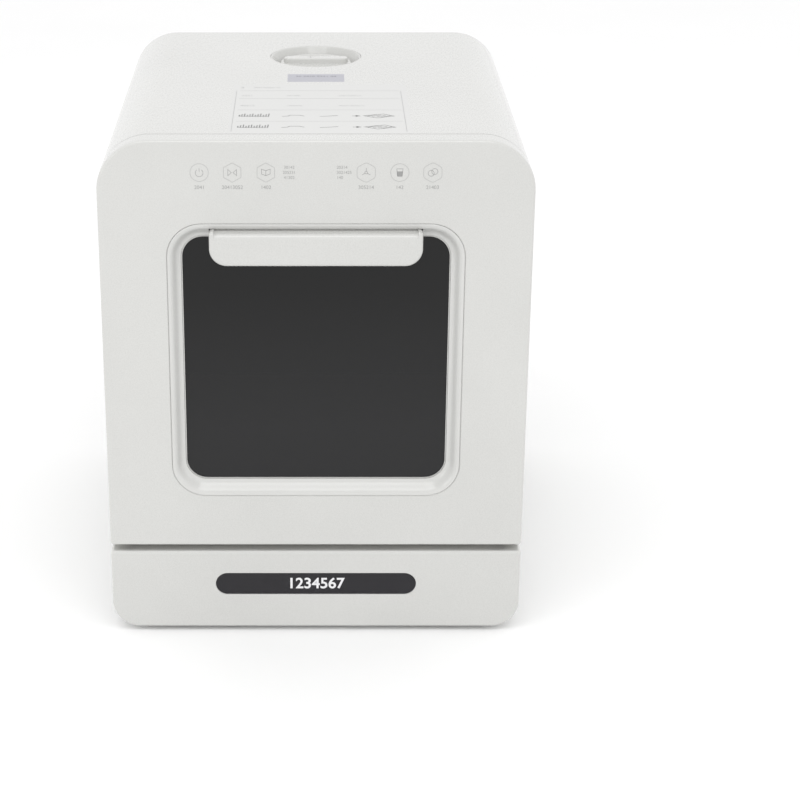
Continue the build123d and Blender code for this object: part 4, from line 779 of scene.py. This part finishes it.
def wires(name, paths, body, covers, radius=wire_radius, bend=6.0, tips=False, slot="coated_wire"):
    """One curve object from several bent wires; tips rounds off their far ends."""
    curve = bpy.data.curves.new(name, "CURVE")
    curve.dimensions = "3D"
    curve.bevel_depth = radius * MM
    curve.bevel_resolution = 2
    curve.use_fill_caps = True
    for path in paths:
        closed = path[0] == path[-1]
        points = bent(path[:-1] if closed else path, bend, closed)
        widths = [1.0] * len(points)
        if tips:
            run = (points[-1] - points[-2]).normalized()
            tip = points.pop()
            points += [tip - run * radius * share for share in (1.0, 0.5, 0.15, 0.0)]
            widths = [1.0] * (len(points) - 3) + [0.86, 0.5, 0.15]
        line = curve.splines.new("POLY")
        line.points.add(len(points) - 1)
        for point, place, size in zip(line.points, points, widths):
            point.co = (*(place * MM), 1)
            point.radius = size
        line.use_cyclic_u = closed
        line.use_smooth = True
    piece = bpy.data.objects.new(name, curve)
    bpy.context.scene.collection.objects.link(piece)
    return settle(piece, body, slot, covers)


floor_wires = [[(x, upright_front + wire_flat, long_z), (x, upright_back - wire_flat, long_z)] for x in long_x]
floor_wires += [[(wire_flat - upright_x, y, cross_z), (upright_x - wire_flat, y, cross_z)] for y in cross_y]
wires("rack_floor_wires", floor_wires, "rack", ("rack_floor",))

for name, y_rail, y_upright, inward in (
    ("rack_front_wall", rail_front, upright_front, 1),
    ("rack_rear_wall", rail_back, upright_back, -1),
):
    wall = []
    for rail_z in (lower_rail, upper_rail):
        rail_end = y_rail + inward * 22
        wall.append([(-rail_x, rail_end, rail_z), (-rail_x, y_rail, rail_z), (rail_x, y_rail, rail_z), (rail_x, rail_end, rail_z)])
    wires(name + "_rails", wall, "rack", (name,), bend=18.0)
    posts = [[(x, y_upright, long_z - wire_flat), (x, y_upright, upper_rail + wire_flat)] for x in long_x]
    wires(name + "_uprights", posts, "rack", (name,))

for name, side in (("rack_left_wall", -1), ("rack_right_wall", 1)):
    ends = (rail_front + 22, rail_back - 22)
    wall = [[(side * rail_x, y, rail_z) for y in ends] for rail_z in (lower_rail, upper_rail)]
    wall += [[(side * upright_x, y, z) for z in (cross_z - wire_flat, upper_rail + wire_flat)] for y in cross_y[1:-1]]
    wires(name + "_wires", wall, "rack", (name,))

post_y = (cross_y[0] - 2 * wire_flat, cross_y[-1] + 2 * wire_flat)
tall = []
for side in (-1, 1):
    tall.append(
        [
            (side * post_x, post_y[0], cross_z - wire_flat),
            (side * post_x, post_y[0], tall_z),
            (side * post_x, post_y[1], tall_z),
            (side * post_x, post_y[1], cross_z - wire_flat),
        ]
    )
    for drop in (88, 25):
        tall.append([(side * post_x, y, tall_z - drop) for y in post_y])
wires("side_frame_wires", tall, "rack", ("side_frames",), bend=3.0)

tine_y = spread_out(cross_y[0] + 12, cross_y[-1] - 12, 6)
plate_pins = [[(x, y, tine_foot - 1), (x, y, tine_foot + 56)] for x in long_x[1:3] for y in tine_y]
wires("plate_pins", plate_pins, "rack", ("plate_tines",), tips=True)
bowl_x = long_x[4]
bowl_pins = [
    [(bowl_x, y, tine_foot - 1), (bowl_x, y, tine_foot + 17), (bowl_x + 9, y, tine_foot + 33.6), (bowl_x + 9, y, tine_foot + 56)]
    for y in tine_y
]
wires("bowl_pins", bowl_pins, "rack", ("bowl_tines",), tips=True)

# Basket hooked over the left side frame
rim_z = tall_z - 14
rim_back = -post_x + 2 * wire_flat + 0.8
rim_front = rim_back + 84
basket_y = -20.5
rim_reach = 105
rim_middle = (rim_back + rim_front) / 2
rim = [
    (rim_back, basket_y - rim_reach, rim_z), (rim_back, basket_y + rim_reach, rim_z),
    (rim_middle, basket_y + 125, rim_z), (rim_front, basket_y + rim_reach, rim_z),
    (rim_front, basket_y - rim_reach, rim_z), (rim_middle, basket_y - 125, rim_z),
    (rim_back, basket_y - rim_reach, rim_z),
]
basket = []
for y in spread_out(basket_y - 99, basket_y + 99, 11):
    basket.append(
        [
            (rim_back, y, rim_z), (rim_back + 8.4, y, rim_z - 60), (rim_front - 15.12, y, rim_z - 60),
            (rim_front - 3.36, y, rim_z - 42), (rim_front, y, rim_z),
        ]
    )
for x in spread_out(rim_back + 16.8, rim_front - 25.2, 3):
    basket.append([(x, basket_y + end * 103, rim_z - 60 + wire_lay) for end in (-1, 1)])
for y in spread_out(basket_y - 85, basket_y + 85, 3):
    hook_top = tall_z + 2 * wire_flat + 0.3
    hook_out = -post_x - 2 * wire_flat - 0.8
    basket.append([(rim_back, y, rim_z), (rim_back, y, hook_top), (hook_out, y, hook_top), (hook_out, y, hook_top - 14)])
wires("basket_rim", [rim], "basket", ("upper_basket",), bend=7.0)
wires("basket_wires", basket, "basket", ("upper_basket",), bend=3.0)

# Axles and wheels
leg_x = 115.4
wheel_x = 124.0
wheel_y = (-89.0, -43.0, 79.0)
runner_z = cross_z - 2 * wire_flat
axles = []
for side in (-1, 1):
    for y in wheel_y:
        axles.append([(side * leg_x, y, runner_z - 1), (side * leg_x, y, wheel_z), (side * 130.6, y, wheel_z)])
wires("axle_legs", axles, "rack", ("wheel_axles",), radius=2.3, bend=2.2)
runners = [[(side * leg_x, y, runner_z) for y in (wheel_y[0] - 16, wheel_y[-1] + 16)] for side in (-1, 1)]
wires("runner_wires", runners, "rack", ("wheel_axles",))
for side, side_name in ((-1, "left"), (1, "right")):
    for number, y in enumerate(wheel_y, start=1):
        cap = turned(
            f"axle_cap_{side_name}_{number}",
            [(0, 0), (4.2, 0), (4.2, side * 0.6), (3.4, side * 1.1), (0, side * 1.2)],
            (side * 129.9, y, wheel_z), "X", 24,
        )
        settle(cap, "rack", "coated_wire")
        wheel = turned(
            f"tyre_{side_name}_{number}",
            [
                (2.46, -5.5), (5.0, -5.5), (5.4, -5.1), (5.5, -3.8), (9.6, -3.6), (10.1, -4.9), (10.8, -5.4), (12.2, -5.4),
                (13.1, -4.8), (13.4, -3.8), (13.45, 0), (13.4, 3.8), (13.1, 4.8), (12.2, 5.4), (10.8, 5.4), (10.1, 4.9),
                (9.6, 3.6), (5.5, 3.8), (5.4, 5.1), (5.0, 5.5), (2.46, 5.5),
            ],
            (side * wheel_x, y, wheel_z), "X", 48,
        )
        node = f"wheel_{side_name}_{number}"
        settle(wheel, node, "wheel_black", (node,), smooth=40)


# ---------------------------------------------------------------- spray arm, filter and feet
def arm_outline(inset, z):
    """Spray arm seen from above: a wide middle that narrows to round tips."""
    middle_y, tip, hub, end = -25.8, 88.0, 16.0 - inset, 10.0 - inset
    lean = (16.0 - 10.0) / tip
    points = []
    for turn in (0, pi):
        for step in range(13):
            angle = turn - pi / 2 + lean + (pi - 2 * lean) * step / 12
            centre_x = tip * cos(turn)
            points.append((centre_x + end * cos(angle), middle_y + end * sin(angle), z))
        for step in range(5):
            angle = turn + pi / 2 - lean + 2 * lean * step / 4
            points.append((hub * cos(angle), middle_y + hub * sin(angle), z))
    return points


arm_rings = [arm_outline(1.4, 104.0), arm_outline(0.4, 104.4), arm_outline(0, 105.4), arm_outline(0, 108.6)]
arm_rings += [arm_outline(0.8, 110.4), arm_outline(2.2, 111.5), arm_outline(4.2, 112.0)]
arm = solid("spray_blade", *skin(arm_rings))
hole = turned("cutter", [(0, 100), (6.05, 100), (6.05, 116), (0, 116)], (0, -25.8, 0), "Z", 40)
slots = [block((x - 1, x + 1), (-25.8 - 3.4, -25.8 + 3.4), (110.2, 114)) for x in (-70.5, -23.5, 23.5, 70.5)]
cut(arm, hole, *slots)
settle(arm, "spray_arm", "arm_grey", ("spray_arm",))

for number, (x, y, top) in enumerate(
    ((-140.5, -151.8, 6.7), (140.5, -151.8, 6.7), (-140.5, 178.5, 16.0), (140.5, 178.5, 16.0)), start=1
):
    profile = [(0, 0.5), (7.6, 0.5), (8.2, 0), (10.2, 0), (10.9, 0.7), (11, 1.6), (11, top - 0.2), (0, top - 0.2)]
    settle(turned(f"foot_{number}", profile, (x, y, 0), "Z", 48), "cabinet", "black_rubber", ("feet",))


# ---------------------------------------------------------------- seal round the tub's mouth
def mouth(inset):
    return outline(150 - inset, 98 + inset, 407 - inset, 14 - inset, 14 - inset)


rings = [ring(mouth(0.2), frame_back - 0.3), ring(mouth(0.2), -176.9), ring(mouth(0.5), -177.25), ring(mouth(1.1), -177.4)]
rings += [ring(mouth(1.9), -177.25), ring(mouth(2.4), -176.2), ring(mouth(3.0), -175.9), ring(mouth(4.9), -175.6)]
rings += [ring(mouth(4.9), frame_back - 0.3)]
settle(solid("mouth_seal", *skin(rings, loop=True)), "cabinet", "black_rubber", ("tub_gasket",))
# Thin light ring along the seal's outer edge: a painted highlight on the black rubber.
rings = [ring(mouth(-0.1), -176.6), ring(mouth(-0.1), -176.98), ring(mouth(-1.0), -176.98), ring(mouth(-1.0), -176.6)]
settle(solid("painted_mouth_highlight", *skin(rings, loop=True)), "cabinet", "light_grey", look="white_print_and_highlight")

# ---------------------------------------------------------------- other visible pieces, from the CAD forms
refined("tub_shell", "cabinet", "tub_black", 0)
for node, body, slot, width in (
    ("front_frame", "cabinet", "cream_frame", 0.4),
    ("rear_cover", "cabinet", "white_shell", 0.4),
    ("rear_screws", "cabinet", "screw_steel", 0.3),
    ("tub_floor", "cabinet", "liner_grey", 0.5),
    ("wheel_tracks", "cabinet", "liner_grey", 0.3),
    ("filter_cup", "filter", "light_grey", 0.3),
    ("spray_hub", "cabinet", "arm_grey", 0.3),
    ("hinge_brackets", "cabinet", "hinge_steel", 0.2),
    ("hinge_arms", "door", "hinge_steel", 0.2),
    ("latch_tongue", "door", "light_grey", 0.3),
    ("door_liner", "door", "liner_grey", 0.3),
    ("door_inner_frame", "door", "light_grey", 0.6),
    ("door_gasket", "door", "black_rubber", 0.5),
    ("fill_cap_plug", "fill_plug", "light_grey", 0.4),
    ("fan_impeller", "fan", "wheel_black", 0.2),
    ("fan_housing", "cabinet", "pump_grey", 0.3),
    ("power_gland", "cabinet", "pump_grey", 0.3),
    ("base_pan", "cabinet", "hinge_steel", 0.0),
):
    refined(node, body, slot, width)

for one in frame["record"]["subparts"]:
    node = nodes[one["node"]]
    if not node.hide_render:
        node.data.materials.clear()
        node.data.materials.append(materials[one["material_slot"]])

# ---------------------------------------------------------------- floor, light and camera
floor_mesh = bpy.data.meshes.new("floor")
floor_mesh.from_pydata([(-6, -6, 0), (6, -6, 0), (6, 6, 0), (-6, 6, 0)], [], [(0, 1, 2, 3)])
floor = bpy.data.objects.new("floor", floor_mesh)
floor.data.materials.append(procedural("pale_floor", (0.97, 0.97, 0.97), 0.7, tint=0.01, cloud=2.0))
bpy.context.scene.collection.objects.link(floor)

world = bpy.data.worlds.new("studio")
world.use_nodes = True
world.node_tree.nodes["Background"].inputs["Color"].default_value = (1, 1, 1, 1)
world.node_tree.nodes["Background"].inputs["Strength"].default_value = 1.0
bpy.context.scene.world = world


def softbox(name, place, aim, size, power):
    lamp = bpy.data.lights.new(name, "AREA")
    lamp.shape = "RECTANGLE"
    lamp.size = size[0]
    lamp.size_y = size[1]
    lamp.energy = power
    made = bpy.data.objects.new(name, lamp)
    made.location = place
    made.rotation_euler = (Vector(aim) - Vector(place)).to_track_quat("-Z", "Y").to_euler()
    bpy.context.scene.collection.objects.link(made)
    return made


top_light = softbox("top_light", (-0.1, -1.0, 2.1), (0, -0.1, 0.3), (1.6, 0.9), 9)
front_light = softbox("front_light", (-1.9, -1.7, 0.9), (0, -0.2, 0.25), (0.8, 1.2), 5)
side_light = softbox("side_light", (2.1, -1.4, 0.9), (0, -0.2, 0.25), (0.8, 1.2), 3)

lens_data = bpy.data.cameras.new("photo_camera")
lens_data.lens = 91.098
lens_data.sensor_width = 36
lens_data.shift_x = 0.1065
lens_data.shift_y = -0.0625
camera = bpy.data.objects.new("photo_camera", lens_data)
camera.location = (-0.001, -1.8085, 0.9067)
camera.rotation_euler = (radians(68.51), 0, 0)
bpy.context.scene.collection.objects.link(camera)
bpy.context.scene.camera = camera
bpy.context.scene.view_settings.view_transform = "Standard"
